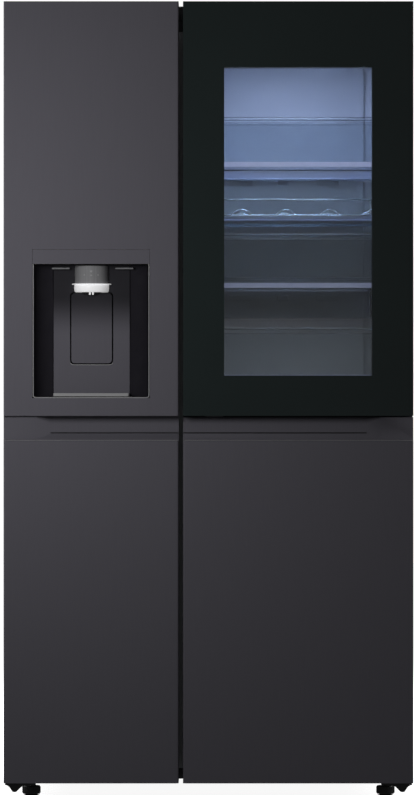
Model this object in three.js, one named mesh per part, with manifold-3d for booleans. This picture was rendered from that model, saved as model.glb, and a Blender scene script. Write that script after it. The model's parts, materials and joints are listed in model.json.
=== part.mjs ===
// Side by side refrigerator with a window door and an ice and water dispenser.
// Millimetres, +Z up, +X to the right seen from the front, and the front faces -Y.
// The origin lies on the floor, in the middle of the overall width and depth.

import * as THREE from 'three';
import { mergeVertices } from 'three/addons/utils/BufferGeometryUtils.js';
import Module from 'manifold-3d';

const wasm = await Module();
wasm.setup();

// Overall size, floor to hinge caps and door faces to back ribs
const WIDTH = 913;
const HEIGHT = 1790;
const DEPTH = 735;

// Walls and clearances
const TOUCH = 0.3;
const SHEET = 1.2;
const PLASTIC = 1.5;
const TUB_WALL = 2.6;

// Case
const CASE_INSET = 1.5;
const CASE_BOTTOM = 48;
const CASE_TOP_DROP = 40;
const CASE_BACK_INSET = 6.5;
const FLANGE = 22;

// Compartments
const FREEZER_WALL = 50.5;
const FRIDGE_WALL = 55.5;
const MULLION = 50;
const FLOOR_WALL = 52;
const CEILING_WALL = 60;
const BACK_WALL = 62;
const LINER_RADIUS = 26;
const MACHINE_DEPTH = 221;
const MACHINE_TOP = 290;
const STEP_WALL = 55;

// Doors
const DOOR_THICKNESS = 103;
const DOOR_BOTTOM = 45.3;
const DOOR_TOP_DROP = 3;
const DOOR_SPLIT_X = -61.6;
const DOOR_SPACING = 9.6;
const DOOR_EDGE_RADIUS = 5;
const SEAL_GAP = 12;
const SEAL_WIDTH = 14;
const SEAL_HINGE_INSET = 36;
const SEAL_HANDLE_INSET = 3;
const DOOR_PIVOT_SIDE = 28;
const DOOR_PIVOT_BACK = 40;
const PIN_RADIUS = 6;
const PIN_PLAY = 0.5;

// Grip groove across both doors
const UPPER_PANEL = 923.3;
const GROOVE_HEIGHT = 41.2;
const GROOVE_LEDGE = 15;
const GROOVE_DEEP = 30;
const GROOVE_SHALLOW = 9;
const GROOVE_FLAT = 72;
const GROOVE_RAMP = 31;

// Window door and the opening behind it
const FRAME_THICKNESS = 50;
const WINDOW_SEAL_GAP = 8;
const GLASS = 4.5;
const WINDOW_SIDE_BORDER = 91.8;
const WINDOW_TOP_BORDER = 146.4;
const WINDOW_BOTTOM_BORDER = 89.9;
const OPENING_SIDE_MARGIN = 18;
const OPENING_TOP_MARGIN = 23.4;
const OPENING_BOTTOM_MARGIN = 28.6;
const SHOULDER_GAP = 2.7;
const WINDOW_PIVOT_SIDE = 20;
const WINDOW_PIVOT_FRONT = 15;
const WINDOW_TONGUE = 6;
const WINDOW_PIN_RADIUS = 4;

// Ridges on the inner side of the doors, which carry the baskets
const RIDGE = 14;
const UPPER_RIDGE_DEPTH = 60;
const LOWER_RIDGE_DEPTH = 40;

// Dispenser
const RECESS_WIDTH = 253.6;
const RECESS_TAPER = 40;
const RECESS_BACK_WALL = 16;
const RECESS_HEIGHT = 296.3;
const RECESS_ABOVE_GROOVE = 42;
const PANEL_OVERHANG = 3.7;
const PANEL_HEIGHT = 32;
const PANEL_THICKNESS = 7.5;
const HOUSING_RIM = 2;
const HEAD_RADIUS = 43.5;
const HEAD_HEIGHT = 40;
const SPOUT_RADIUS = 40.5;
const SPOUT_HEIGHT = 17;
const PADDLE_WIDTH = 91;
const PADDLE_HEIGHT = 157;
const PADDLE_TOP_DROP = 64;
const PADDLE_SETBACK = 47;
const TRAY_SIDE_CLEARANCE = 1.8;
const TRAY_HEIGHT = 11;

// Shelves, drawers and baskets
const SHELF_THICKNESS = 5;
const SHELF_TRIM_HEIGHT = 9;
const SHELF_SETBACK = 132;
const SHELF_DROPS = { upper: 269, middle: 378, lower: 530 };
const DRAWER_SETBACK = 67;
const DRAWER_HINGE_CLEARANCE = 84.5;
const DRAWER_SIDE_CLEARANCE = 8;
const LEDGE_HEIGHT = 6;
const SHELF_LEDGES = [8, 8];
const BASKET_DEPTH = 96;

// Feet and rollers
const FOOT_X = 401;
const FOOT_SETBACK = 175.5;
const FOOT_PAD_RADIUS = 18;
const FOOT_WHEEL_RADIUS = 21;
const FOOT_WHEEL_TOP = 26;
const FOOT_STEM_RADIUS = 5;
const ROLLER_RADIUS = 20;
const ROLLER_WIDTH = 18;
const ROLLER_AXLE_RADIUS = 4;
const BASE_THICKNESS = 5.7;

// Machine room, back panel and the feet of the top hinges
const ROLLER_SETBACK = 61;
const MACHINE_SETBACK = 105;
const BACK_RIB_HALF_WIDTH = 9;
const BACK_RIB_END_GAP = 60;
const HINGE_FOOT_DEPTH = 104;

// Air ducts: where the slots stand across the cover, and their sizes
const DUCT_THICKNESS = 13;
const DUCT_SIDE_GAP = 33;
const SLOT_SHARES = [0.215, 0.485, 0.77];
const SLOT_HALF_WIDTHS = [26.5, 12, 26.5];
const SLOT_HALF_HEIGHT = 6;

// How far a cutter reaches past the door that it cuts
const PAST_DOOR = 20;

// Planes and edges worked out from the sizes above
const sideX = WIDTH / 2;
const frontY = -DEPTH / 2;
const backY = DEPTH / 2;
const doorBackY = frontY + DOOR_THICKNESS;
const caseFrontY = doorBackY + SEAL_GAP;
const caseBackY = backY - CASE_BACK_INSET;
const caseX = sideX - CASE_INSET;
const caseTop = HEIGHT - CASE_TOP_DROP;
const doorTop = HEIGHT - DOOR_TOP_DROP;
const grooveTop = doorTop - UPPER_PANEL;
const grooveBottom = grooveTop - GROOVE_HEIGHT;
const machineFrontY = caseBackY - MACHINE_DEPTH;
const linerBackY = caseBackY - BACK_WALL;
const linerStepY = machineFrontY - STEP_WALL;
const linerStepZ = MACHINE_TOP + STEP_WALL;
const linerBottom = CASE_BOTTOM + FLOOR_WALL;
const linerTop = caseTop - CEILING_WALL;
const freezerX = [-sideX + FREEZER_WALL, DOOR_SPLIT_X - MULLION / 2];
const fridgeX = [DOOR_SPLIT_X + MULLION / 2, sideX - FRIDGE_WALL];
const footY = frontY + FOOT_SETBACK;
const rollerY = caseBackY - ROLLER_SETBACK;
const doorPivotY = doorBackY - DOOR_PIVOT_BACK;
const hingeClearX = sideX - DRAWER_HINGE_CLEARANCE;

// A door by its hinge side, -1 left or +1 right, and its left and right edges
const freezerDoor = { hinge: -1, x: [-sideX, DOOR_SPLIT_X - DOOR_SPACING / 2] };
const fridgeDoor = { hinge: 1, x: [DOOR_SPLIT_X + DOOR_SPACING / 2, sideX] };

// Window door planes, its clear window, and the opening in the fridge door behind it
const frameFrontY = doorBackY - FRAME_THICKNESS;
const windowBackY = frameFrontY - WINDOW_SEAL_GAP;
const shoulderZ = grooveTop - SHOULDER_GAP;
const windowX = [fridgeDoor.x[0] + WINDOW_SIDE_BORDER, fridgeDoor.x[1] - WINDOW_SIDE_BORDER];
const windowZ = [grooveTop + WINDOW_BOTTOM_BORDER, doorTop - WINDOW_TOP_BORDER];
const openingX = grow(windowX, OPENING_SIDE_MARGIN);
const openingZ = [windowZ[0] - OPENING_BOTTOM_MARGIN, windowZ[1] + OPENING_TOP_MARGIN];
const windowPivot = [sideX - WINDOW_PIVOT_SIDE, frontY + WINDOW_PIVOT_FRONT];

// Dispenser places
const dispenserX = middle(freezerDoor.x);
const recessZ = [grooveTop + RECESS_ABOVE_GROOVE, grooveTop + RECESS_ABOVE_GROOVE + RECESS_HEIGHT];
const recessBackY = doorBackY - RECESS_BACK_WALL;
const recessBackHalf = RECESS_WIDTH / 2 - RECESS_TAPER;

// Finishes
const FINISH = {
  graphite: { color: 0x525156, roughness: 0.42, metalness: 0.75 },
  caseGrey: { color: 0x4a4a4e, roughness: 0.5, metalness: 0.6 },
  blackGlass: { color: 0x181c1c, roughness: 0.06, metalness: 0.1 },
  blackPlastic: { color: 0x17181a, roughness: 0.5, metalness: 0 },
  whitePlastic: { color: 0xdfe3e8, roughness: 0.35, metalness: 0 },
  clearPlastic: { color: 0xc9d3dc, roughness: 0.15, metalness: 0 },
  shelfGlass: { color: 0xa9bdb4, roughness: 0.08, metalness: 0 },
  foam: { color: 0xe6d9a8, roughness: 0.9, metalness: 0 },
  rubber: { color: 0x2a2b2d, roughness: 0.8, metalness: 0 },
  chrome: { color: 0xc4c6c9, roughness: 0.18, metalness: 1 },
  steel: { color: 0x9a9da0, roughness: 0.4, metalness: 0.9 },
  copper: { color: 0xa8683f, roughness: 0.35, metalness: 0.9 },
};

// ---------- small helpers ----------

function grow([low, high], by) {
  return [low - by, high + by];
}

function around(centre, reach) {
  return [centre - reach, centre + reach];
}

function middle([low, high]) {
  return (low + high) / 2;
}

// the same span on the left (-1) or right (+1) side of the middle plane
function onSide(side, [inner, outer]) {
  return side < 0 ? [-outer, -inner] : [inner, outer];
}

// x at a distance from the hinge edge of a door
function fromHinge(door, distance) {
  return door.hinge < 0 ? door.x[0] + distance : door.x[1] - distance;
}

function toSolid(geometry) {
  geometry.deleteAttribute('normal');
  geometry.deleteAttribute('uv');
  const merged = mergeVertices(geometry, 1e-4);
  const vertProperties = new Float32Array(merged.attributes.position.array);
  const triVerts = new Uint32Array(merged.index.array);
  return new wasm.Manifold(new wasm.Mesh({ numProp: 3, vertProperties, triVerts }));
}

function block([x0, x1], [y0, y1], [z0, z1]) {
  const geometry = new THREE.BoxGeometry(x1 - x0, y1 - y0, z1 - z0);
  geometry.translate((x0 + x1) / 2, (y0 + y1) / 2, (z0 + z1) / 2);
  return toSolid(geometry);
}

const AXIS = {
  x: new THREE.Vector3(1, 0, 0),
  y: new THREE.Vector3(0, 1, 0),
  z: new THREE.Vector3(0, 0, 1),
};

// a prism's outline lies in YZ for x, in XZ for y and in XY for z
const PRISM_FRAME = {
  x: new THREE.Matrix4().makeBasis(AXIS.y, AXIS.z, AXIS.x),
  y: new THREE.Matrix4().makeBasis(AXIS.x, AXIS.z, AXIS.y.clone().negate()),
  z: new THREE.Matrix4(),
};

function prism(shape, axis, [from, to], curveSegments = 4) {
  const options = { depth: to - from, bevelEnabled: false, curveSegments };
  const geometry = new THREE.ExtrudeGeometry(shape, options);
  geometry.translate(0, 0, axis === 'y' ? -to : from);
  geometry.applyMatrix4(PRISM_FRAME[axis]);
  return toSolid(geometry);
}

// a closed outline from corners [u, v] or [u, v, radius]
function outline(corners) {
  const shape = new THREE.Shape();
  const count = corners.length;
  corners.forEach(([u, v, radius = 0], i) => {
    const corner = new THREE.Vector2(u, v);
    const before = new THREE.Vector2(...corners[(i + count - 1) % count].slice(0, 2));
    const after = new THREE.Vector2(...corners[(i + 1) % count].slice(0, 2));
    const start = corner.clone().add(before.sub(corner).setLength(radius));
    const end = corner.clone().add(after.sub(corner).setLength(radius));
    if (i === 0) {
      shape.moveTo(start.x, start.y);
    } else {
      shape.lineTo(start.x, start.y);
    }
    if (radius > 0) {
      shape.quadraticCurveTo(u, v, end.x, end.y);
    }
  });
  shape.closePath();
  return shape;
}

function roundedRect([u0, u1], [v0, v1], radius) {
  return outline([[u0, v0, radius], [u1, v0, radius], [u1, v1, radius], [u0, v1, radius]]);
}

// a round bar along an axis, centred on the two other coordinates
function rod(axis, [u, v], radius, [from, to], sides = 20) {
  const geometry = new THREE.CylinderGeometry(radius, radius, to - from, sides);
  const along = (from + to) / 2;
  if (axis === 'x') {
    geometry.rotateZ(-Math.PI / 2);
    geometry.translate(along, u, v);
  } else if (axis === 'y') {
    geometry.translate(u, along, v);
  } else {
    geometry.rotateX(Math.PI / 2);
    geometry.translate(u, v, along);
  }
  return toSolid(geometry);
}

// a turned piece from [radius, height] points, standing on Z
function turned(points, segments = 24) {
  const profile = points.map(([radius, height]) => new THREE.Vector2(radius, height));
  const geometry = new THREE.LatheGeometry(profile, segments);
  geometry.rotateX(Math.PI / 2);
  return toSolid(geometry);
}

function join(solids) {
  return solids.reduce((whole, solid) => whole.add(solid));
}

function cut(solid, cutters) {
  return cutters.reduce((rest, cutter) => rest.subtract(cutter), solid);
}

// a frame plate: one block with a smaller block cut through along Y
function ring(xOuter, ySpan, zOuter, xInner, zInner) {
  return block(xOuter, ySpan, zOuter).subtract(block(xInner, grow(ySpan, 1), zInner));
}

const refrigerator = new THREE.Group();
const cabinet = new THREE.Group();
const freezerDoorGroup = new THREE.Group();
const fridgeDoorGroup = new THREE.Group();
const windowDoorGroup = new THREE.Group();
refrigerator.add(cabinet, freezerDoorGroup, fridgeDoorGroup);
fridgeDoorGroup.add(windowDoorGroup);

function addPiece(group, name, solid, finish, place = [0, 0, 0]) {
  const { vertProperties, triVerts } = solid.getMesh();
  const geometry = new THREE.BufferGeometry();
  geometry.setAttribute('position', new THREE.BufferAttribute(vertProperties, 3));
  geometry.setIndex(new THREE.BufferAttribute(triVerts, 1));
  geometry.computeVertexNormals();
  const mesh = new THREE.Mesh(geometry, new THREE.MeshStandardMaterial(finish));
  mesh.name = name;
  mesh.position.set(...place);
  group.add(mesh);
}

// ---------- case, insulation and liners ----------

// the case in side view: a tall box with a step at the bottom back for the machine room
function caseProfile(inset, [y0, y1]) {
  return outline([
    [y0, CASE_BOTTOM + inset],
    [machineFrontY - inset, CASE_BOTTOM + inset],
    [machineFrontY - inset, MACHINE_TOP + inset],
    [y1, MACHINE_TOP + inset],
    [y1, caseTop - inset],
    [y0, caseTop - inset],
  ]);
}

function caseBody(inset, ySpan) {
  return prism(caseProfile(inset, ySpan), 'x', [-caseX + inset, caseX - inset]);
}

function makeOuterCase() {
  const ySpan = [caseFrontY, caseBackY];
  const shell = caseBody(0, ySpan).subtract(caseBody(SHEET, grow(ySpan, 5)));
  const flange = ring(
    [-caseX, caseX], [caseFrontY, caseFrontY + SHEET], [CASE_BOTTOM, caseTop],
    [-caseX + FLANGE, caseX - FLANGE], [CASE_BOTTOM + FLANGE, caseTop - FLANGE],
  );
  const machineSides = [-1, 1].map((side) => block(
    onSide(side, [caseX - SHEET, caseX]), [machineFrontY - 1, caseBackY], [CASE_BOTTOM, MACHINE_TOP + 1],
  ));
  return join([shell, flange, ...machineSides]);
}

// the hollow of one compartment, grown outwards by a wall
function compartment([x0, x1], wall, fromY) {
  const radius = LINER_RADIUS + wall;
  const side = outline([
    [fromY, linerBottom - wall],
    [linerStepY + wall, linerBottom - wall, radius],
    [linerStepY + wall, linerStepZ - wall, LINER_RADIUS],
    [linerBackY + wall, linerStepZ - wall, radius],
    [linerBackY + wall, linerTop + wall, radius],
    [fromY, linerTop + wall],
  ]);
  const plan = outline([
    [x0 - wall, fromY],
    [x1 + wall, fromY],
    [x1 + wall, linerBackY + wall, radius],
    [x0 - wall, linerBackY + wall, radius],
  ]);
  const height = [linerBottom - wall, linerTop + wall];
  return prism(side, 'x', grow([x0, x1], wall)).intersect(prism(plan, 'z', height));
}

// ribs on the side walls that shelves and drawers rest on
function ledges([x0, x1], widths, [y0, y1], heights) {
  return heights.flatMap((top) => [
    block([x0 - 1, x0 + widths[0]], [y0, y1], [top - LEDGE_HEIGHT, top]),
    block([x1 - widths[1], x1 + 1], [y0, y1], [top - LEDGE_HEIGHT, top]),
  ]);
}

function makeLiner(xSpan, flangeX, ribs) {
  const hollow = compartment(xSpan, 0, caseFrontY - 5);
  const shell = compartment(xSpan, PLASTIC, caseFrontY);
  const lip = FLANGE + TOUCH;
  const flange = block(flangeX, [caseFrontY, caseFrontY + PLASTIC], [CASE_BOTTOM + lip, caseTop - lip]);
  return join([shell.add(flange).subtract(hollow), ...ribs]);
}

function makeFoam() {
  const gap = SHEET + TOUCH;
  const body = caseBody(gap, [caseFrontY + PLASTIC + TOUCH, caseBackY]);
  const wall = PLASTIC + TOUCH;
  return cut(body, [
    compartment(freezerX, wall, caseFrontY - 5),
    compartment(fridgeX, wall, caseFrontY - 5),
  ]);
}

function makeMullionCover() {
  const x = [freezerX[1] + PLASTIC + TOUCH, fridgeX[0] - PLASTIC - TOUCH];
  const lip = FLANGE + TOUCH;
  return block(x, [caseFrontY, caseFrontY + PLASTIC], [CASE_BOTTOM + lip, caseTop - lip]);
}

function makeBackPanel() {
  const plateY = [caseBackY + TOUCH, caseBackY + TOUCH + SHEET];
  const plate = block([-caseX, caseX], plateY, [MACHINE_TOP + TOUCH, caseTop]);
  const ribHeight = [MACHINE_TOP + BACK_RIB_END_GAP, caseTop - BACK_RIB_END_GAP];
  const ribs = [-0.75, -0.25, 0.25, 0.75].map((share) => {
    const x = share * caseX;
    return block(around(x, BACK_RIB_HALF_WIDTH), [plateY[0], backY], ribHeight);
  });
  return join([plate, ...ribs]);
}

const lowerShelfZ = linerTop - SHELF_DROPS.lower;
const middleShelfZ = linerTop - SHELF_DROPS.middle;
const upperShelfZ = linerTop - SHELF_DROPS.upper;
const crisperZ = [[linerBottom + 10, linerStepZ - 10], [linerStepZ + 8, linerStepZ + 256]];
const crisperCoverZ = crisperZ[1][1] + 14;
const freezerShelfZ = [crisperZ[1][1] + 60, linerTop - 560];
const shelfY = [caseFrontY + SHELF_SETBACK, linerBackY - 22];
const ductY = linerBackY - DUCT_THICKNESS;

const drawerX = {
  freezer: [-hingeClearX, freezerX[1] - DRAWER_SIDE_CLEARANCE],
  fridge: [fridgeX[0] + DRAWER_SIDE_CLEARANCE, hingeClearX],
};

function makeLiners() {
  const lip = caseX - FLANGE - TOUCH;
  const drawerFront = caseFrontY + DRAWER_SETBACK;
  const drawerLedge = crisperZ[1][0] - 1;
  const shelfRun = [shelfY[0] + 20, linerBackY - 30];
  const drawerRun = [drawerFront + 20, linerBackY - 30];
  const wide = sideX - FRIDGE_WALL - hingeClearX + 3;
  const wideFreezer = sideX - FREEZER_WALL - hingeClearX + 3;
  const narrow = DRAWER_SIDE_CLEARANCE + 3;
  const shelfTops = [lowerShelfZ, middleShelfZ, upperShelfZ].map((z) => z - TOUCH);
  const fridgeRibs = [
    ...ledges(fridgeX, SHELF_LEDGES, shelfRun, [...shelfTops, crisperCoverZ - TOUCH]),
    ...ledges(fridgeX, [narrow, wide], drawerRun, [drawerLedge]),
  ];
  const freezerRun = [shelfRun[0] + 20, linerBackY - 60];
  const freezerRibs = [
    ...ledges(freezerX, SHELF_LEDGES, freezerRun, freezerShelfZ.map((z) => z - TOUCH)),
    ...ledges(freezerX, [wideFreezer, narrow], freezerRun, [drawerLedge]),
  ];
  const freezerLiner = makeLiner(freezerX, [-lip, freezerX[1] + PLASTIC], freezerRibs);
  const fridgeLiner = makeLiner(fridgeX, [fridgeX[0] - PLASTIC, lip], fridgeRibs);
  addPiece(cabinet, 'freezer_liner', freezerLiner, FINISH.whitePlastic);
  addPiece(cabinet, 'fridge_liner', fridgeLiner, FINISH.whitePlastic);
}

// ---------- chassis, feet, rollers and machine room ----------

const baseTop = CASE_BOTTOM - TOUCH;
const fanPlace = [-118, caseBackY - MACHINE_SETBACK, CASE_BOTTOM + 96];
const fanPostX = fanPlace[0] + 34;

function rollerEars(side) {
  return [-1, 1].map((offset) => {
    const x = side * FOOT_X + offset * (ROLLER_WIDTH / 2 + 3.5);
    const ear = block([x - 1.5, x + 1.5], [rollerY - 12, rollerY + 12], [ROLLER_RADIUS - 10, baseTop]);
    return ear.subtract(rod('x', [rollerY, ROLLER_RADIUS], ROLLER_AXLE_RADIUS + 0.4, [x - 3, x + 3]));
  });
}

// the chassis plate, with upright cheeks that stiffen the case beside the machine room
function makeBasePlate() {
  const plateZ = [baseTop - BASE_THICKNESS, baseTop];
  const plate = block([-caseX + 15, caseX - 15], [footY - 14, caseBackY - 8], plateZ);
  const bosses = [-1, 1].map((side) => rod('z', [side * FOOT_X, footY], 12, [FOOT_WHEEL_TOP + 8, baseTop]));
  const fanPost = block([fanPostX, fanPostX + 8], around(fanPlace[1], 16), [baseTop - 1, fanPlace[2] + 16]);
  const stemHoles = [-1, 1].map((side) => rod(
    'z', [side * FOOT_X, footY], FOOT_STEM_RADIUS + 0.4, [FOOT_WHEEL_TOP, CASE_BOTTOM + 1],
  ));
  const wheelSlots = [-1, 1].map((side) => block(
    around(side * FOOT_X, ROLLER_WIDTH / 2 + 1.5),
    around(rollerY, ROLLER_RADIUS + 3),
    grow(plateZ, 1),
  ));
  const body = cut(join([plate, ...bosses]), [...stemHoles, ...wheelSlots]);
  const cheekX = caseX - SHEET - TOUCH;
  const cheekY = [machineFrontY + 2, caseBackY - 8];
  const cheeks = [-1, 1].flatMap((side) => [
    block(onSide(side, [cheekX - 3, cheekX]), cheekY, [plateZ[0], MACHINE_TOP - 3]),
    block(onSide(side, [caseX - 20, cheekX - 1]), cheekY, plateZ),
  ]);
  return join([body, fanPost, ...cheeks, ...rollerEars(-1), ...rollerEars(1)]);
}

function makeLeveller() {
  return turned([
    [0, 0],
    [FOOT_PAD_RADIUS - 1, 0],
    [FOOT_PAD_RADIUS, 2],
    [FOOT_PAD_RADIUS, 6],
    [FOOT_WHEEL_RADIUS, 7],
    [FOOT_WHEEL_RADIUS, FOOT_WHEEL_TOP - 1],
    [FOOT_WHEEL_RADIUS - 1, FOOT_WHEEL_TOP],
    [FOOT_STEM_RADIUS, FOOT_WHEEL_TOP],
    [FOOT_STEM_RADIUS, baseTop - 2],
    [0, baseTop - 2],
  ], 20);
}

function makeRoller() {
  const wheel = rod('x', [0, 0], ROLLER_RADIUS, [-ROLLER_WIDTH / 2, ROLLER_WIDTH / 2], 28);
  const axleEnd = ROLLER_WIDTH / 2 + 8;
  return wheel.add(rod('x', [0, 0], ROLLER_AXLE_RADIUS, [-axleEnd, axleEnd], 12));
}

function makeCompressor() {
  const shell = turned([
    [0, 14], [62, 14], [78, 26], [82, 50], [82, 98], [76, 122], [56, 142], [28, 152], [0, 154],
  ], 20);
  const plate = block([-104, 104], [-70, 70], [8, 15]);
  const feet = [[-90, -56], [90, -56], [90, 56], [-90, 56]].map((at) => rod('z', at, 11, [0.3, 9], 14));
  const pipe = rod('z', [60, 30], 4, [60, 175], 10);
  return join([shell, plate, ...feet, pipe]);
}

function makeFinBlock([width, depth, height], plates, tubeRadius) {
  const parts = [];
  for (let i = 0; i < plates; i += 1) {
    const x = -width / 2 + (width * i) / (plates - 1);
    parts.push(block([x - 0.8, x + 0.8], [-depth / 2, depth / 2], [0, height]));
  }
  for (const share of [0.28, 0.72]) {
    parts.push(rod('x', [0, share * height], tubeRadius, grow([-width / 2, width / 2], 9), 8));
  }
  return join(parts);
}

function makeFan() {
  const hub = rod('x', [0, 0], 17, [-11, 14], 20);
  const shaft = rod('x', [0, 0], 4, [13, fanPostX - fanPlace[0] - TOUCH], 12);
  const blades = [0, 1, 2, 3, 4].map((i) => {
    const blade = new THREE.BoxGeometry(2.5, 46, 26);
    blade.rotateY(0.6);
    blade.translate(0, 38, 0);
    blade.rotateX((i * 2 * Math.PI) / 5);
    return toSolid(blade);
  });
  return join([hub, shaft, ...blades]);
}

const glandPlace = [caseX - 75, caseBackY, MACHINE_TOP - 60];
const GLAND_RADIUS = 9;

function makeMachineCover() {
  const y = [caseBackY + TOUCH, caseBackY + TOUCH + 1.6];
  const plate = block([-caseX + 6, caseX - 6], y, [CASE_BOTTOM + 4, MACHINE_TOP - 3]);
  const slots = [];
  for (const x of [-250, -60, 130]) {
    for (let row = 0; row < 5; row += 1) {
      const z = CASE_BOTTOM + 50 + row * 30;
      slots.push(block([x - 75, x + 75], grow(y, 1), [z, z + 10]));
    }
  }
  slots.push(rod('y', [glandPlace[0], glandPlace[2]], GLAND_RADIUS + TOUCH, grow(y, 1), 20));
  return cut(plate, slots);
}

function makeGland() {
  const bush = rod('y', [0, 0], GLAND_RADIUS, [-6, 6], 20);
  const collar = rod('y', [0, 0], GLAND_RADIUS + 4, [2.4, 5], 20);
  return bush.add(collar).subtract(rod('y', [0, 0], 4.2, [-8, 8], 16));
}

function addMachineRoom() {
  const floor = CASE_BOTTOM;
  addPiece(cabinet, 'base_plate', makeBasePlate(), FINISH.steel);
  for (const [side, word] of [[-1, 'left'], [1, 'right']]) {
    addPiece(cabinet, `leveller_${word}`, makeLeveller(), FINISH.blackPlastic, [side * FOOT_X, footY, 0]);
    addPiece(cabinet, `roller_${word}`, makeRoller(), FINISH.rubber, [side * FOOT_X, rollerY, ROLLER_RADIUS]);
  }
  const compressorPlace = [150, caseBackY - MACHINE_SETBACK, floor];
  addPiece(cabinet, 'compressor', makeCompressor(), FINISH.blackPlastic, compressorPlace);
  const condenser = makeFinBlock([190, 130, 130], 7, 4);
  addPiece(cabinet, 'condenser', condenser, FINISH.copper, [-255, caseBackY - MACHINE_SETBACK, floor + 1]);
  addPiece(cabinet, 'condenser_fan', makeFan(), FINISH.blackPlastic, fanPlace);
  addPiece(cabinet, 'machine_cover', makeMachineCover(), FINISH.caseGrey);
  addPiece(cabinet, 'cable_gland', makeGland(), FINISH.rubber, glandPlace);
}

// ---------- top cover and hinges ----------

const pivotX = sideX - DOOR_PIVOT_SIDE;
const hingeX = [pivotX - 40, caseX - 4];
const armFrontY = doorPivotY - PIN_RADIUS - 8;

function makeTopCover() {
  const x = hingeX[0] - TOUCH;
  const ySpan = [caseFrontY, caseFrontY + HINGE_FOOT_DEPTH];
  const top = doorTop - 1.4;
  const body = prism(outline([
    [ySpan[0], caseTop + TOUCH],
    [ySpan[1], caseTop + TOUCH],
    [ySpan[1], top - 8],
    [ySpan[0] + 60, top],
    [ySpan[0], top],
  ]), 'x', [-x, x]);
  return body.subtract(block([-x + 3, x - 3], [ySpan[0] + 3, ySpan[1] - 3], [caseTop - 5, top - 14]));
}

function makeTopHinge(side) {
  const x = onSide(side, hingeX);
  const foot = block(x, [caseFrontY + 4, caseFrontY + HINGE_FOOT_DEPTH], [caseTop + TOUCH, HEIGHT]);
  const arm = prism(outline([
    [side * hingeX[0], caseFrontY + 20],
    [side * hingeX[0], caseFrontY - 12, 8],
    [side * (pivotX - 16), armFrontY, 8],
    [side * (pivotX + 14), armFrontY, 8],
    [side * hingeX[1], caseFrontY + 20],
  ]), 'z', [doorTop + 0.5, HEIGHT]);
  const pin = rod('z', [side * pivotX, doorPivotY], PIN_RADIUS, [doorTop - 24, doorTop + 1], 20);
  return join([foot, arm, pin]);
}

function makeBottomHinge(side) {
  const top = DOOR_BOTTOM - 1.8;
  const x = onSide(side, [pivotX - 42, sideX - 1]);
  const plate = block(x, [armFrontY, caseFrontY + 38], [top - 4, top]);
  const riser = block(x, [caseFrontY + 8, caseFrontY + 38], [top - 4, CASE_BOTTOM - TOUCH]);
  const across = (distance) => side * (pivotX + distance);
  const lip = prism(outline([
    [across(-42), top], [across(-42), top - 6], [across(-12), top - 8, 6], [across(2), top - 22, 3],
    [across(10), top - 22, 3], [across(19), top - 8, 6], [across(27), top - 6], [across(27), top],
  ]), 'y', [armFrontY, armFrontY + 4]);
  const pin = rod('z', [side * pivotX, doorPivotY], PIN_RADIUS, [top - 1, DOOR_BOTTOM + 16], 20);
  return join([plate, riser, lip, pin]);
}

// ---------- door bodies ----------

// the grip groove that crosses a door: shallow by the hinge, then a ramp down to the full depth
function grooveCutter(door, inset) {
  const width = door.x[1] - door.x[0];
  const [shallow, deep] = [frontY + GROOVE_SHALLOW + inset, frontY + GROOVE_DEEP + inset];
  const plan = outline([
    [fromHinge(door, -PAST_DOOR), frontY - PAST_DOOR],
    [fromHinge(door, -PAST_DOOR), shallow],
    [fromHinge(door, GROOVE_FLAT), shallow],
    [fromHinge(door, GROOVE_FLAT + GROOVE_RAMP), deep],
    [fromHinge(door, width + PAST_DOOR), deep],
    [fromHinge(door, width + PAST_DOOR), frontY - PAST_DOOR],
  ]);
  const drop = inset * Math.hypot(1, GROOVE_LEDGE / GROOVE_DEEP);
  const slope = (y) => grooveBottom - GROOVE_LEDGE - drop + ((y - frontY) * GROOVE_LEDGE) / GROOVE_DEEP;
  const reach = [frontY - PAST_DOOR, deep + 10];
  const side = outline([
    [reach[0], slope(reach[0])],
    [reach[1], slope(reach[1])],
    [reach[1], grooveTop + inset],
    [reach[0], grooveTop + inset],
  ]);
  const across = grow(door.x, PAST_DOOR);
  return prism(plan, 'z', [grooveBottom - 60, grooveTop + inset + 1]).intersect(prism(side, 'x', across));
}

function doorBody(door, inset, endY) {
  const radius = Math.max(DOOR_EDGE_RADIUS - inset, 1);
  const [x0, x1] = grow(door.x, -inset);
  const y0 = frontY + inset;
  const plan = outline([[x0, y0, radius], [x1, y0, radius], [x1, endY], [x0, endY]]);
  const body = prism(plan, 'z', [DOOR_BOTTOM + inset, doorTop - inset]);
  return body.subtract(grooveCutter(door, inset));
}

// the pocket in front of the fridge door that the window door fills
function windowPocket(inset) {
  const x = grow(fridgeDoor.x, PAST_DOOR);
  return block(x, [frontY - PAST_DOOR, frameFrontY + inset], [shoulderZ - inset, doorTop + PAST_DOOR]);
}

function pinBores(door) {
  const at = [fromHinge(door, DOOR_PIVOT_SIDE), doorPivotY];
  const radius = PIN_RADIUS + PIN_PLAY;
  return [
    rod('z', at, radius, [doorTop - 26, doorTop + 5], 20),
    rod('z', at, radius, [DOOR_BOTTOM - 5, DOOR_BOTTOM + 18], 20),
  ];
}

// a ridge frame behind a door, drawn in by an inset; foam fills it and the liner covers it
function ridge({ x, z, depth }, inset, fromY) {
  const inner = [grow(x, -RIDGE + inset), grow(z, -RIDGE + inset)];
  const y = [fromY, doorBackY + depth - inset];
  return ring(grow(x, -inset), y, grow(z, -inset), inner[0], inner[1]);
}

const ridges = {
  window: { x: grow(openingX, RIDGE), z: grow(openingZ, RIDGE), depth: UPPER_RIDGE_DEPTH },
  fridge: { x: grow(openingX, RIDGE), z: [linerBottom + 30, grooveTop - 20], depth: LOWER_RIDGE_DEPTH },
  freezer: {
    x: [freezerX[0] + 9, freezerX[1] - 19], z: [linerBottom + 30, grooveTop - 10], depth: LOWER_RIDGE_DEPTH,
  },
};

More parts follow.
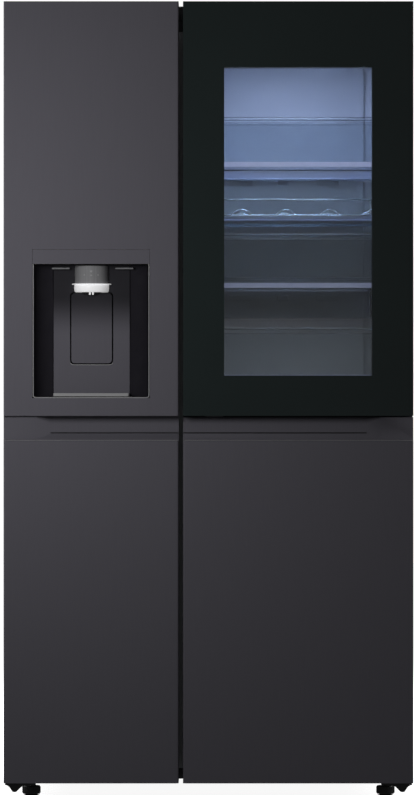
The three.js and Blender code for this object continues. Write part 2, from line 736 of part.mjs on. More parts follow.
function doorLiner(door, frames) {
  const y = [doorBackY - PLASTIC, doorBackY];
  const plate = block(grow(door.x, -2), y, [DOOR_BOTTOM + 2, doorTop - 2]);
  const outer = frames.map((frame) => ridge(frame, 0, y[0]));
  const inner = frames.map((frame) => ridge(frame, PLASTIC, doorBackY - 5));
  return cut(join([plate, ...outer]), inner);
}

function doorFoam(body, frames) {
  return join([body, ...frames.map((frame) => ridge(frame, PLASTIC + TOUCH, doorBackY - PLASTIC - 3))]);
}

function doorSeal(door) {
  const x = door.hinge < 0
    ? [door.x[0] + SEAL_HINGE_INSET, door.x[1] - SEAL_HANDLE_INSET]
    : [door.x[0] + SEAL_HANDLE_INSET, door.x[1] - SEAL_HINGE_INSET];
  const z = [linerBottom - 24, linerTop + 24];
  const y = [doorBackY + TOUCH, caseFrontY - TOUCH];
  return ring(x, y, z, grow(x, -SEAL_WIDTH), grow(z, -SEAL_WIDTH));
}

// an open tub with rounded upright corners; local origin at the middle of its front bottom edge
function makeTub([width, depth, height], radius, wall, frontHeight = height) {
  const half = width / 2;
  const body = prism(roundedRect([-half, half], [0, depth], radius), 'z', [0, height]);
  const hollow = prism(
    roundedRect([-half + wall, half - wall], [wall, depth - wall], Math.max(radius - wall, 1)),
    'z', [wall + 1, height + 5],
  );
  const lowFront = block([-half - 5, half + 5], [-5, wall + 0.01], [frontHeight, height + 5]);
  return frontHeight < height ? cut(body, [hollow, lowFront]) : body.subtract(hollow);
}

// ---------- freezer door ----------

function recessOutline() {
  const half = RECESS_WIDTH / 2;
  const shape = new THREE.Shape();
  shape.moveTo(dispenserX - half, frontY - 5);
  shape.lineTo(dispenserX - half, frontY + 4);
  shape.quadraticCurveTo(dispenserX - half, recessBackY - 14, dispenserX - recessBackHalf, recessBackY);
  shape.lineTo(dispenserX + recessBackHalf, recessBackY);
  shape.quadraticCurveTo(dispenserX + half, recessBackY - 14, dispenserX + half, frontY + 4);
  shape.lineTo(dispenserX + half, frontY - 5);
  shape.closePath();
  return shape;
}

const housingX = around(dispenserX, RECESS_WIDTH / 2 + PANEL_OVERHANG);
const housingZ = [recessZ[0] - HOUSING_RIM, recessZ[1] - TOUCH];
const panelZ = [recessZ[1], recessZ[1] + PANEL_HEIGHT];
const paddleZ = [recessZ[1] - PADDLE_TOP_DROP - PADDLE_HEIGHT, recessZ[1] - PADDLE_TOP_DROP];
const paddleY = frontY + PADDLE_SETBACK;
const paddlePivot = [paddleY + 16, paddleZ[1] - 9];
const PADDLE_EAR_X = 30;

function makeHousing() {
  const body = block(housingX, [frontY, recessBackY + HOUSING_RIM], housingZ);
  const hollow = prism(recessOutline(), 'z', [recessZ[0], recessZ[1] - 2.5], 7);
  const ears = [-1, 1].map((side) => {
    const x = dispenserX + side * (PADDLE_EAR_X + 6);
    const ear = block(around(x, 2), [paddlePivot[0] - 8, recessBackY + 1], around(paddlePivot[1], 8));
    return ear.subtract(rod('x', paddlePivot, 3.4, [x - 4, x + 4], 14));
  });
  return join([body.subtract(hollow), ...ears]);
}

function makeHead() {
  const centreY = frontY + 64;
  const keep = block(around(dispenserX, 60), [frontY, recessBackY - TOUCH], recessZ);
  const top = recessZ[1] - 2.5 - TOUCH;
  const headBottom = recessZ[1] - HEAD_HEIGHT;
  const spoutBottom = headBottom - 3 - SPOUT_HEIGHT;
  const drum = rod('z', [dispenserX, centreY], HEAD_RADIUS, [headBottom, top], 40);
  const flange = rod('z', [dispenserX, centreY], HEAD_RADIUS + 1.5, [headBottom - 3, headBottom + 1], 40);
  const spout = rod('z', [dispenserX, centreY], SPOUT_RADIUS, [spoutBottom, headBottom - 2], 36);
  const nozzles = [-1, 1].map((side) => rod(
    'z', [dispenserX + side * 4.6, centreY - 4], 3.8, [spoutBottom - 8, spoutBottom + 1], 12,
  ));
  return join([drum, flange, spout, ...nozzles]).intersect(keep);
}

function makePaddle() {
  const half = PADDLE_WIDTH / 2;
  const plate = prism(roundedRect(around(dispenserX, half), paddleZ, 14), 'y', [paddleY, paddleY + 4], 5);
  const axle = rod('x', paddlePivot, 3, around(dispenserX, PADDLE_EAR_X + 8.5), 14);
  const arms = [-1, 1].map((side) => {
    const x = dispenserX + side * PADDLE_EAR_X;
    return block(around(x, 2), [paddleY + 3, paddlePivot[0] + 4], around(paddlePivot[1], 5));
  });
  return join([plate, axle, ...arms]);
}

function makeDripTray() {
  const half = recessBackHalf - TRAY_SIDE_CLEARANCE;
  const z = [recessZ[0] + TOUCH, recessZ[0] + TRAY_HEIGHT];
  const y = [frontY + 5, recessBackY - 3];
  const body = prism(roundedRect(around(dispenserX, half), y, 8), 'z', z);
  const hollowPlan = roundedRect(around(dispenserX, half - 3), grow(y, -3), 6);
  const hollow = prism(hollowPlan, 'z', [z[0] + 2, z[1] + 2]);
  const bars = [];
  for (let i = -4; i <= 4; i += 1) {
    const x = dispenserX + i * 17;
    bars.push(block([x - 2, x + 2], grow(y, -2), [z[0] + 1, z[1] - 2]));
  }
  return join([body.subtract(hollow), ...bars]);
}

function makeIceMaker() {
  const width = 190;
  const tub = makeTub([width, 118, 280], 16, 3);
  const motor = block([-width / 2 + 2, width / 2 - 2], [2, 38], [180, 279]);
  return tub.add(motor);
}

function addFreezerDoor() {
  const door = freezerDoor;
  const frames = [ridges.freezer];
  const pocketX = grow(housingX, TOUCH);
  const skinHole = block(pocketX, [frontY - 5, frontY + 12], [housingZ[0] - TOUCH, panelZ[1] + TOUCH]);
  const pockets = [
    block(pocketX, [frontY - 5, recessBackY + HOUSING_RIM + TOUCH], grow(housingZ, TOUCH)),
    block(pocketX, [frontY - 5, frontY + PANEL_THICKNESS + TOUCH], grow(panelZ, TOUCH)),
  ];
  const bores = pinBores(door);
  const hollow = doorBody(door, SHEET, doorBackY + 5);
  const skin = cut(doorBody(door, 0, doorBackY - TOUCH), [hollow, skinHole, ...bores, skinBackTrim(door)]);
  const foamBody = doorBody(door, SHEET + TOUCH, doorBackY - PLASTIC - TOUCH);
  const foam = doorFoam(cut(foamBody, [...pockets, ...bores]), frames);
  addPiece(freezerDoorGroup, 'freezer_door_skin', skin, FINISH.graphite);
  addPiece(freezerDoorGroup, 'freezer_door_foam', foam, FINISH.foam);
  addPiece(freezerDoorGroup, 'freezer_door_liner', doorLiner(door, frames), FINISH.whitePlastic);
  addPiece(freezerDoorGroup, 'freezer_door_gasket', doorSeal(door), FINISH.rubber);
  addPiece(freezerDoorGroup, 'dispenser_housing', makeHousing(), FINISH.blackPlastic);
  const panel = block(housingX, [frontY, frontY + PANEL_THICKNESS], panelZ);
  addPiece(freezerDoorGroup, 'dispenser_panel', panel, FINISH.blackGlass);
  addPiece(freezerDoorGroup, 'dispenser_head', makeHead(), FINISH.chrome);
  addPiece(freezerDoorGroup, 'dispenser_paddle', makePaddle(), FINISH.blackPlastic);
  addPiece(freezerDoorGroup, 'drip_tray', makeDripTray(), FINISH.steel);
  const iceY = doorBackY + TOUCH;
  const icePlace = [dispenserX, iceY, panelZ[1] + 10];
  addPiece(freezerDoorGroup, 'ice_maker', makeIceMaker(), FINISH.whitePlastic, icePlace);
  const basketX = grow(ridges.freezer.x, -RIDGE - 1);
  const baskets = {
    upper: { depth: BASKET_DEPTH, z: crisperZ[1][1] + 12.7 },
    lower: { depth: DRAWER_SETBACK - 8, z: ridges.freezer.z[0] + RIDGE + 20 },
  };
  for (const [word, { depth, z }] of Object.entries(baskets)) {
    const basket = makeTub([basketX[1] - basketX[0], depth, 110], 12, TUB_WALL);
    const place = [middle(basketX), iceY, z];
    addPiece(freezerDoorGroup, `freezer_door_basket_${word}`, basket, FINISH.clearPlastic, place);
  }
}

// room for the liner's edge at the open back of a door skin
function skinBackTrim(door) {
  const y = [doorBackY - PLASTIC - TOUCH, doorBackY + 5];
  return block(grow(door.x, -2 + TOUCH), y, [DOOR_BOTTOM + 2 - TOUCH, doorTop - 2 + TOUCH]);
}

// ---------- fridge door ----------

const openingSpan = [frameFrontY + SHEET + TOUCH, doorBackY];
const basketY = frameFrontY + 8;
const DOOR_BASKETS = {
  upper: { top: openingZ[1] - 131, height: 113 },
  middle: { top: openingZ[1] - 391, height: 124 },
  lower: { top: openingZ[1] - 603, height: 118 },
};

function openingCutter(margin) {
  const y = [frontY - 5, doorBackY + UPPER_RIDGE_DEPTH + 5];
  return block(grow(openingX, margin), y, grow(openingZ, margin));
}

// the lining of the opening, with a peg under each end of each basket
function openingLining() {
  const lining = ring(
    grow(openingX, PLASTIC), openingSpan, grow(openingZ, PLASTIC), openingX, openingZ,
  );
  const pegs = Object.values(DOOR_BASKETS).flatMap(({ top, height }) => {
    const z = [top - height - TOUCH - 5, top - height - TOUCH];
    const y = [basketY + 12, doorBackY + 20];
    return [
      block([openingX[0] - 0.5, openingX[0] + 7], y, z),
      block([openingX[1] - 7, openingX[1] + 0.5], y, z),
    ];
  });
  return [lining, ...pegs];
}

// the upper tongue and pin and the lower pin that the window door turns on
function windowHingeParts(grown) {
  const [x, y] = windowPivot;
  const tongueZ = [doorTop - 5.5, doorTop - 2.5];
  const radius = WINDOW_PIN_RADIUS + grown;
  return {
    tongue: block(around(x, WINDOW_TONGUE), [y - WINDOW_TONGUE, frameFrontY + 1], tongueZ),
    upperPin: rod('z', [x, y], radius, [doorTop - 20, tongueZ[0] + 1], 16),
    lowerPin: rod('z', [x, y], radius, [shoulderZ - 1, grooveTop + 18], 16),
  };
}

function addFridgeDoor() {
  const door = fridgeDoor;
  const frames = [ridges.window, ridges.fridge];
  const bores = pinBores(door);
  const skinBody = cut(doorBody(door, 0, doorBackY - TOUCH), [
    doorBody(door, SHEET, doorBackY + 5).subtract(windowPocket(SHEET)), windowPocket(0),
    openingCutter(0), ...bores, skinBackTrim(door),
  ]);
  const { tongue, upperPin, lowerPin } = windowHingeParts(0);
  const skin = join([skinBody, tongue, upperPin, lowerPin]);
  const inset = SHEET + TOUCH;
  const foamBody = doorBody(door, inset, doorBackY - PLASTIC - TOUCH).subtract(windowPocket(inset));
  const pinRoots = rod('z', windowPivot, WINDOW_PIN_RADIUS + 1, [shoulderZ - 6, shoulderZ + 6], 12);
  const foam = doorFoam(cut(foamBody, [openingCutter(PLASTIC + TOUCH), ...bores, pinRoots]), frames);
  const liner = join([doorLiner(door, frames).subtract(openingCutter(0)), ...openingLining()]);
  addPiece(fridgeDoorGroup, 'fridge_door_skin', skin, FINISH.graphite);
  addPiece(fridgeDoorGroup, 'fridge_door_foam', foam, FINISH.foam);
  addPiece(fridgeDoorGroup, 'fridge_door_liner', liner, FINISH.whitePlastic);
  addPiece(fridgeDoorGroup, 'fridge_door_gasket', doorSeal(door), FINISH.rubber);
  const width = openingX[1] - openingX[0] - 2;
  for (const [word, { top, height }] of Object.entries(DOOR_BASKETS)) {
    const basket = makeTub([width, BASKET_DEPTH, height], 12, TUB_WALL, height - 14);
    const place = [middle(openingX), basketY, top - height];
    addPiece(fridgeDoorGroup, `door_basket_${word}`, basket, FINISH.clearPlastic, place);
  }
}

// ---------- window door ----------

const BUTTON = { width: 44, depth: 13, travel: 2.5 };
const buttonPlace = [fridgeDoor.x[0] + 70, frontY + 17, grooveTop - BUTTON.travel];

function windowPlate(ySpan, radius) {
  const [x0, x1] = fridgeDoor.x;
  const plan = outline([[x0, ySpan[0], radius], [x1, ySpan[0], radius], [x1, ySpan[1]], [x0, ySpan[1]]]);
  return prism(plan, 'z', [grooveTop, doorTop]);
}

function makeWindowFrame() {
  const y = [frontY + GLASS + TOUCH, windowBackY];
  const [x, pivotY] = windowPivot;
  const { upperPin, lowerPin } = windowHingeParts(PIN_PLAY);
  const notch = block([x - 12, sideX + 5], [pivotY - 10.2, windowBackY + 5], [doorTop - 6, doorTop + 5]);
  const buttonBore = block(
    around(buttonPlace[0], BUTTON.width / 2 + 0.5),
    around(buttonPlace[1], BUTTON.depth / 2 + 0.5),
    [grooveTop - 5, grooveTop + 18],
  );
  const body = windowPlate(y, 0.5);
  return cut(body, [block(windowX, grow(y, 5), windowZ), notch, upperPin, lowerPin, buttonBore]);
}

function addWindowDoor() {
  addPiece(windowDoorGroup, 'window_glass', windowPlate([frontY, frontY + GLASS], 2), FINISH.blackGlass);
  addPiece(windowDoorGroup, 'window_door_frame', makeWindowFrame(), FINISH.blackPlastic);
  const x = [fridgeDoor.x[0] + 12, sideX - WINDOW_PIVOT_SIDE - 4];
  const z = [grooveTop + 6, doorTop - 10];
  const seal = ring(x, [windowBackY + TOUCH, frameFrontY - TOUCH], z, grow(x, -12), grow(z, -12));
  addPiece(windowDoorGroup, 'window_door_gasket', seal, FINISH.rubber);
  const half = [BUTTON.width / 2, BUTTON.depth / 2];
  const button = block([-half[0], half[0]], [-half[1], half[1]], [0, 14]);
  addPiece(windowDoorGroup, 'release_button', button, FINISH.chrome, buttonPlace);
}

// ---------- inside the compartments ----------

// a glass shelf with a raised trim along its front edge
function makeShelf([x0, x1], [y0, y1]) {
  const half = (x1 - x0) / 2;
  const plate = block([-half, half], [0, y1 - y0], [0, SHELF_THICKNESS]);
  const trimTop = SHELF_THICKNESS + 0.5;
  const trim = block([-half, half], [-6, 8], [trimTop - SHELF_TRIM_HEIGHT, trimTop]);
  return plate.add(trim);
}

function addShelf(name, xSpan, ySpan, z) {
  const shelf = makeShelf(grow(xSpan, -2), ySpan);
  addPiece(cabinet, name, shelf, FINISH.shelfGlass, [middle(xSpan), ySpan[0], z]);
}

const WIRE = 2.4;
const RACK_PITCH = 98;

// one wavy wire across the shelf, dipping under each bottle
function waveWire(width, y) {
  const points = [];
  const steps = 4 * Math.round(width / RACK_PITCH);
  for (let i = 0; i <= steps; i += 1) {
    const x = -width / 2 + (width * i) / steps;
    const phase = (2 * Math.PI * (x - width / 2)) / RACK_PITCH;
    points.push(new THREE.Vector3(x, y, WIRE + 10 + 9 * Math.cos(phase)));
  }
  const section = new THREE.Shape();
  section.absarc(0, 0, WIRE, 0, 2 * Math.PI);
  const extrudePath = new THREE.CatmullRomCurve3(points);
  const geometry = new THREE.ExtrudeGeometry(section, { steps: steps * 2, curveSegments: 3, extrudePath });
  return toSolid(geometry);
}

function makeBottleRack(width, depth) {
  const half = width / 2 - 4;
  const lines = [WIRE + 1, depth - WIRE - 1];
  const parts = lines.map((y) => waveWire(width - 8, y));
  parts.push(...lines.map((y) => rod('x', [y, WIRE + TOUCH], WIRE, [-half, half], 6)));
  const bars = Math.floor(width / RACK_PITCH);
  for (let i = 0; i <= bars; i += 1) {
    const x = half - i * RACK_PITCH;
    parts.push(rod('y', [x, 21], WIRE, [0, depth], 6));
    parts.push(...lines.map((y) => rod('z', [x, y], WIRE, [WIRE, 21], 6)));
  }
  return join(parts);
}

// a cover over an air duct, with rows of air slots
function ductCover(xSpan, ySpan, zSpan, slotRows) {
  const plate = block(xSpan, ySpan, zSpan);
  const width = xSpan[1] - xSpan[0];
  const slots = slotRows.flatMap((z) => SLOT_SHARES.map((share, i) => block(
    around(xSpan[0] + share * width, SLOT_HALF_WIDTHS[i]), grow(ySpan, 1), around(z, SLOT_HALF_HEIGHT),
  )));
  return cut(plate, slots);
}

function addDrawer(name, xSpan, ySpan, zSpan, finish) {
  const size = [xSpan[1] - xSpan[0], ySpan[1] - ySpan[0], zSpan[1] - zSpan[0]];
  const tub = makeTub(size, 14, TUB_WALL + 0.4);
  const lip = block([-size[0] / 2 + 60, size[0] / 2 - 60], [-9, 1], [size[2] - 14, size[2] - 6]);
  addPiece(cabinet, name, tub.add(lip), finish, [middle(xSpan), ySpan[0], zSpan[0]]);
}

function addFridgeInside() {
  addShelf('shelf_upper', fridgeX, shelfY, upperShelfZ);
  addShelf('shelf_middle', fridgeX, shelfY, middleShelfZ);
  addShelf('shelf_lower', fridgeX, shelfY, lowerShelfZ);
  addShelf('crisper_cover', fridgeX, [caseFrontY + DRAWER_SETBACK + 6, shelfY[1]], crisperCoverZ);
  const rack = makeBottleRack(fridgeX[1] - fridgeX[0] - 24, 210);
  const rackPlace = [middle(fridgeX), shelfY[0] + 90, middleShelfZ + SHELF_THICKNESS + 0.2];
  addPiece(cabinet, 'bottle_rack', rack, FINISH.chrome, rackPlace);
  const front = caseFrontY + DRAWER_SETBACK;
  const snackZ = [lowerShelfZ - 76, lowerShelfZ - 8];
  addDrawer('snack_drawer', drawerX.fridge, [shelfY[0] - 2, shelfY[1] - 40], snackZ, FINISH.clearPlastic);
  addDrawer('crisper_lower', drawerX.fridge, [front, linerStepY - 8], crisperZ[0], FINISH.clearPlastic);
  addDrawer('crisper_upper', drawerX.fridge, [front, ductY - 14], crisperZ[1], FINISH.clearPlastic);
  const duct = [ductY, linerBackY - TOUCH];
  const ductX = grow(fridgeX, -DUCT_SIDE_GAP);
  const slots = [upperShelfZ - 8, lowerShelfZ - 20, crisperCoverZ + 160];
  const ductZ = [crisperCoverZ + 30, linerTop - LINER_RADIUS - 1];
  const cover = ductCover(ductX, duct, ductZ, slots);
  addPiece(cabinet, 'fridge_duct_cover', cover, FINISH.whitePlastic);
  const lampX = around(middle(fridgeX), 95);
  const lamp = block(lampX, [shelfY[0] + 10, shelfY[0] + 150], [linerTop - 7, linerTop - TOUCH]);
  addPiece(cabinet, 'fridge_lamp', lamp, FINISH.whitePlastic);
}

function addFreezerInside() {
  const coverY = linerBackY - 56;
  const span = [shelfY[0] + 20, coverY - 8];
  addShelf('freezer_shelf_lower', freezerX, span, freezerShelfZ[0]);
  addShelf('freezer_shelf_upper', freezerX, span, freezerShelfZ[1]);
  const front = caseFrontY + DRAWER_SETBACK;
  const finish = FINISH.clearPlastic;
  addDrawer('freezer_drawer_lower', drawerX.freezer, [front, linerStepY - 8], crisperZ[0], finish);
  addDrawer('freezer_drawer_upper', drawerX.freezer, [front, coverY - 8], crisperZ[1], finish);
  const coverZ = [linerStepZ + 14, linerTop - 200];
  const cover = ductCover(grow(freezerX, -3), [coverY, coverY + 8], coverZ, [linerTop - 290]);
  addPiece(cabinet, 'freezer_duct_cover', cover, FINISH.whitePlastic);
  const coil = makeFinBlock([freezerX[1] - freezerX[0] - 60, 32, 330], 8, 5);
  addPiece(cabinet, 'evaporator', coil, FINISH.steel, [middle(freezerX), coverY + 30, linerStepZ + 110]);
}

// ---------- the whole refrigerator ----------

addPiece(cabinet, 'outer_case', makeOuterCase(), FINISH.caseGrey);
addPiece(cabinet, 'back_panel', makeBackPanel(), FINISH.caseGrey);
addPiece(cabinet, 'foam_insulation', makeFoam(), FINISH.foam);
addPiece(cabinet, 'mullion_cover', makeMullionCover(), FINISH.steel);
makeLiners();
addMachineRoom();
addPiece(cabinet, 'top_cover', makeTopCover(), FINISH.blackPlastic);
for (const [side, word] of [[-1, 'left'], [1, 'right']]) {
  addPiece(cabinet, `hinge_top_${word}`, makeTopHinge(side), FINISH.blackPlastic);
  addPiece(cabinet, `hinge_bottom_${word}`, makeBottomHinge(side), FINISH.blackPlastic);
}
addFridgeInside();
addFreezerInside();
addFreezerDoor();
addFridgeDoor();
addWindowDoor();

export default refrigerator;
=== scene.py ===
"""A side by side refrigerator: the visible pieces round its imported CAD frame."""

import json
from math import cos, pi, radians, sin, sqrt, tau

import bmesh
import bpy
from bpy.props import FloatProperty, FloatVectorProperty, IntProperty, PointerProperty
from bpy.types import Operator, Panel, PropertyGroup
from mathutils import Matrix, Vector

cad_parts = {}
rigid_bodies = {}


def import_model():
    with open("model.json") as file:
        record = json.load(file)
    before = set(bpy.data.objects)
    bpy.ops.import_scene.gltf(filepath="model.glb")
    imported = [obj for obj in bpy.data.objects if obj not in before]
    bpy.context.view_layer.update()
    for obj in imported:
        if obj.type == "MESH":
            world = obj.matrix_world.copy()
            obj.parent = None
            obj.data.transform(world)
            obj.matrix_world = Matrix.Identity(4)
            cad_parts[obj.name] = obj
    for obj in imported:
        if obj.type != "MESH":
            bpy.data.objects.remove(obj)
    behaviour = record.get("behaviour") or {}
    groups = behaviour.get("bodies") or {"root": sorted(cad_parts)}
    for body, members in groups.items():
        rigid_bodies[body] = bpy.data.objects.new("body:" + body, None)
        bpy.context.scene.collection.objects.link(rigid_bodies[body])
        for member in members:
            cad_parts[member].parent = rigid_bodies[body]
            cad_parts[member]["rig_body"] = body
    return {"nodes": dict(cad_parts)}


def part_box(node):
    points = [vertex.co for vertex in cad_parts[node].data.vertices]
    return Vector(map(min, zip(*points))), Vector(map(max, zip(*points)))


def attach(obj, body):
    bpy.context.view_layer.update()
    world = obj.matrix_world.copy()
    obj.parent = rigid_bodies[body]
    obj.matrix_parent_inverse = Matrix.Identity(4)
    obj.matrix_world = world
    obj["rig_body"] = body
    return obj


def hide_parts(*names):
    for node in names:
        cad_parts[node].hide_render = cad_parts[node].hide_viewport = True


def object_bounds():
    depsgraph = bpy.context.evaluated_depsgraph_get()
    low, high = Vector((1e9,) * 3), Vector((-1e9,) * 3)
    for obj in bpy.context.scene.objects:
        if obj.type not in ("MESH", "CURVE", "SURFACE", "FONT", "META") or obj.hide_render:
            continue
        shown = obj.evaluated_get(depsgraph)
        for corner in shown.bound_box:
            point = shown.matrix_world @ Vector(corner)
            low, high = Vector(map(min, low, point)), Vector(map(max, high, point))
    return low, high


bl_info = {
    "name": "Side by Side Refrigerator",
    "version": (1, 0, 0),
    "blender": (4, 5, 0),
    "location": "3D View > Sidebar > Refrigerator",
    "description": "Builds the pieces of a side by side refrigerator with a window door",
    "category": "Add Mesh",
}

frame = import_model()
CAD_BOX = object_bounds()

MM = 0.001
NEAR = 0.1 * MM
X, Y, Z = range(3)
BIG_X, BIG_Y, BIG_Z = Vector((1, 0, 0)), Vector((0, 1, 0)), Vector((0, 0, 1))

# ---------- sizes and colours that a user would change ----------


def length_setting(name, description, default, soft_max):
    return FloatProperty(
        name=name, description=description, default=default, min=0, soft_max=soft_max,
        subtype="DISTANCE", unit="LENGTH",
    )


def colour_setting(name, description, default):
    return FloatVectorProperty(
        name=name, description=description, default=default, size=3, min=0, max=1,
        subtype="COLOR",
    )


class FridgeDoorSettings(PropertyGroup):
    """Finish and edges of the doors."""

    colour: colour_setting("Door colour", "Paint of the two doors", (0.112, 0.108, 0.126))
    glass: colour_setting("Glass border", "Print behind the window door's glass", (0.012, 0.019, 0.019))
    edge: length_setting("Edge radius", "Rounding of the door edges", 1.2 * MM, 0.004)
    bezel: length_setting("Bezel width", "Width of the strip round the dispenser", 2.2 * MM, 0.006)
    slots: IntProperty(
        name="Grille slots", description="Bars across the drip tray", default=11, min=3,
        soft_max=30,
    )


class FridgeInsideSettings(PropertyGroup):
    """Finish of the compartments."""

    liner: colour_setting("Liner colour", "White plastic of the compartments", (0.60, 0.63, 0.68))
    clear: colour_setting("Clear plastic", "Tint of the baskets and drawers", (0.86, 0.92, 0.96))
    shelf: colour_setting("Shelf glass", "Tint of the glass shelves", (0.74, 0.86, 0.84))
    corner: length_setting("Liner corner", "Rounding of the upright corners", 31 * MM, 0.05)
    wire: length_setting("Rack wire", "Thickness of the bottle rack wire", 4.4 * MM, 0.008)


class FridgeStageSettings(PropertyGroup):
    """Floor, lights and camera."""

    floor: colour_setting("Floor colour", "Pale floor", (0.93, 0.93, 0.93))
    distance: length_setting("Camera distance", "From the door faces", 10.0, 20)
    lens: FloatProperty(
        name="Lens", description="Focal length", default=203.36, min=20, soft_max=300,
        subtype="DISTANCE_CAMERA", unit="CAMERA",
    )
    key: FloatProperty(
        name="Key light", description="Power of the soft lamp in front", default=8.4, min=0,
        soft_max=100, subtype="POWER", unit="POWER",
    )
    fill: FloatProperty(
        name="Fill lights", description="Power of each lamp beside and behind", default=42,
        min=0, soft_max=200, subtype="POWER", unit="POWER",
    )
    lamp: FloatProperty(
        name="Inside lamp", description="Power of the lamp in the fridge", default=2.7,
        min=0, soft_max=50, subtype="POWER", unit="POWER",
    )


# ---------- shaping tools ----------


def metres(*lengths):
    return Vector(lengths) * MM


def block(lo, hi):
    """A bmesh holding one box between two corners."""
    lo, hi = Vector(lo), Vector(hi)
    bm = bmesh.new()
    bmesh.ops.create_cube(bm, size=1, matrix=Matrix.LocRotScale((lo + hi) / 2, None, hi - lo))
    return bm


def runs_along(edge, axis):
    run = edge.verts[1].co - edge.verts[0].co
    return abs(run[axis]) > 0.99 * run.length


def bevel(bm, edges, width, segments=2):
    edges = list(edges)
    if edges and width > 0:
        bmesh.ops.bevel(
            bm, geom=edges, offset=width, offset_type="OFFSET", segments=segments,
            profile=0.5, affect="EDGES", clamp_overlap=True, material=-1,
        )
    return bm


def sharp_edges(bm, degrees=40):
    limit = radians(degrees)
    return [e for e in bm.edges if e.is_manifold and e.calc_face_angle(0) > limit]


def plate(lo, hi, axis, corner, edge=0.0, segments=6):
    """A box with its corners round as seen along one axis, and then its outlines."""
    bm = block(lo, hi)
    bevel(bm, [e for e in bm.edges if runs_along(e, axis)], corner, segments)
    return bevel(bm, sharp_edges(bm, 60), edge)


def rod(start, end, radius, end_radius=None, sides=24, edge=0.0):
    """A round bar or cone between two points."""
    start, end = Vector(start), Vector(end)
    run = end - start
    place = Matrix.Translation((start + end) / 2) @ run.to_track_quat("Z", "Y").to_matrix().to_4x4()
    bm = bmesh.new()
    bmesh.ops.create_cone(
        bm, cap_ends=True, segments=sides, radius1=radius,
        radius2=radius if end_radius is None else end_radius, depth=run.length, matrix=place,
    )
    return bevel(bm, sharp_edges(bm, 60), edge)


def turned(profile, centre, axis, steps=48):
    """A closed shape spun from (radius, height) points round an axis through a point."""
    turn = axis.to_track_quat("Z", "Y").to_matrix()
    bm = bmesh.new()
    verts = [bm.verts.new(turn @ Vector((r, 0, h)) + centre) for r, h in profile]
    chain = [bm.edges.new(pair) for pair in zip(verts, verts[1:])]
    bmesh.ops.spin(
        bm, geom=verts + chain, cent=centre, axis=axis, dvec=(0, 0, 0), angle=tau,
        steps=steps, use_merge=True,
    )
    bmesh.ops.remove_doubles(bm, verts=bm.verts, dist=1e-6)
    bmesh.ops.recalc_face_normals(bm, faces=bm.faces)
    return bm


def wire(points, radius, sides=3, closed=False):
    """A round wire through points, as a bmesh."""
    curve = bpy.data.curves.new("wire", "CURVE")
    curve.dimensions = "3D"
    curve.bevel_depth, curve.bevel_resolution, curve.use_fill_caps = radius, sides, True
    spline = curve.splines.new("POLY")
    spline.points.add(len(points) - 1)
    for knot, point in zip(spline.points, points):
        knot.co = (*point, 1)
    spline.use_cyclic_u = closed
    holder = bpy.data.objects.new("wire", curve)
    mesh = bpy.data.meshes.new_from_object(holder)
    bm = bmesh.new()
    bm.from_mesh(mesh)
    bmesh.ops.remove_doubles(bm, verts=bm.verts, dist=1e-6)
    bmesh.ops.recalc_face_normals(bm, faces=bm.faces)
    bpy.data.objects.remove(holder)
    bpy.data.curves.remove(curve)
    bpy.data.meshes.remove(mesh)
    return bm


def rounded_path(corners, radius, steps=6):
    """Points along a path whose inner corners are rounded."""
    path = [Vector(corners[0])]
    for before, corner, after in zip(corners, corners[1:], corners[2:]):
        before, corner, after = Vector(before), Vector(corner), Vector(after)
        start = corner + (before - corner).normalized() * radius
        end = corner + (after - corner).normalized() * radius
        for i in range(steps + 1):
            t = i / steps
            path.append(start * (1 - t) ** 2 + corner * 2 * t * (1 - t) + end * t * t)
    path.append(Vector(corners[-1]))
    return path


def loop_path(x, z, y, radius, steps=6):
    """A closed rectangle with round corners, facing along Y."""
    corners = [(x[0], z[0]), (x[1], z[0]), (x[1], z[1]), (x[0], z[1])]
    points = [Vector((cx, y, cz)) for cx, cz in corners]
    path = []
    for i, corner in enumerate(points):
        before, after = points[i - 1], points[(i + 1) % 4]
        ends = rounded_path([before, corner, after], radius, steps)
        path += ends[1:-1]
    return path


def join(*parts):
    """All the parts in the first one."""
    whole = parts[0]
    for part in parts[1:]:
        holder = bpy.data.meshes.new("holder")
        part.to_mesh(holder)
        part.free()
        whole.from_mesh(holder)
        bpy.data.meshes.remove(holder)
    return whole


def painted(bm, index):
    """Every face in one material slot."""
    for face in bm.faces:
        face.material_index = index
    return bm


def softened(node, width, segments=2, keep=None, sharper_than=35):
    """A merged copy of a CAD node with its sharp edges rounded."""
    bm = bmesh.new()
    bm.from_mesh(frame["nodes"][node].data)
    bmesh.ops.remove_doubles(bm, verts=bm.verts, dist=2e-5)
    bmesh.ops.dissolve_limit(
        bm, angle_limit=radians(0.5), verts=bm.verts, edges=bm.edges, delimit=set()
    )
    edges = [e for e in sharp_edges(bm, sharper_than) if keep is None or keep(e)]
    return bevel(bm, edges, width, segments)


def piece(name, bm, body, slot, *materials, replaces=(), smooth=38):
    """Puts a finished bmesh in the scene as a piece that rides on a body."""
    mesh = bpy.data.meshes.new(name)
    bm.to_mesh(mesh)
    bm.free()
    for material in materials:
        mesh.materials.append(material)
    mesh.shade_smooth()
    mesh.set_sharp_from_angle(angle=radians(smooth))
    made = bpy.data.objects.new(name, mesh)
    bpy.context.scene.collection.objects.link(made)
    normals = made.modifiers.new("Flat faces stay flat", "WEIGHTED_NORMAL")
    normals.keep_sharp = True
    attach(made, body)
    if replaces:
        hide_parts(*replaces)
    return made


def thicken(made, thickness):
    """Gives an open shell a wall, made before its normals are weighted."""
    wall = made.modifiers.new("Wall", "SOLIDIFY")
    wall.thickness, wall.offset = thickness, -1
    made.modifiers.move(1, 0)


# ---------- finishes ----------


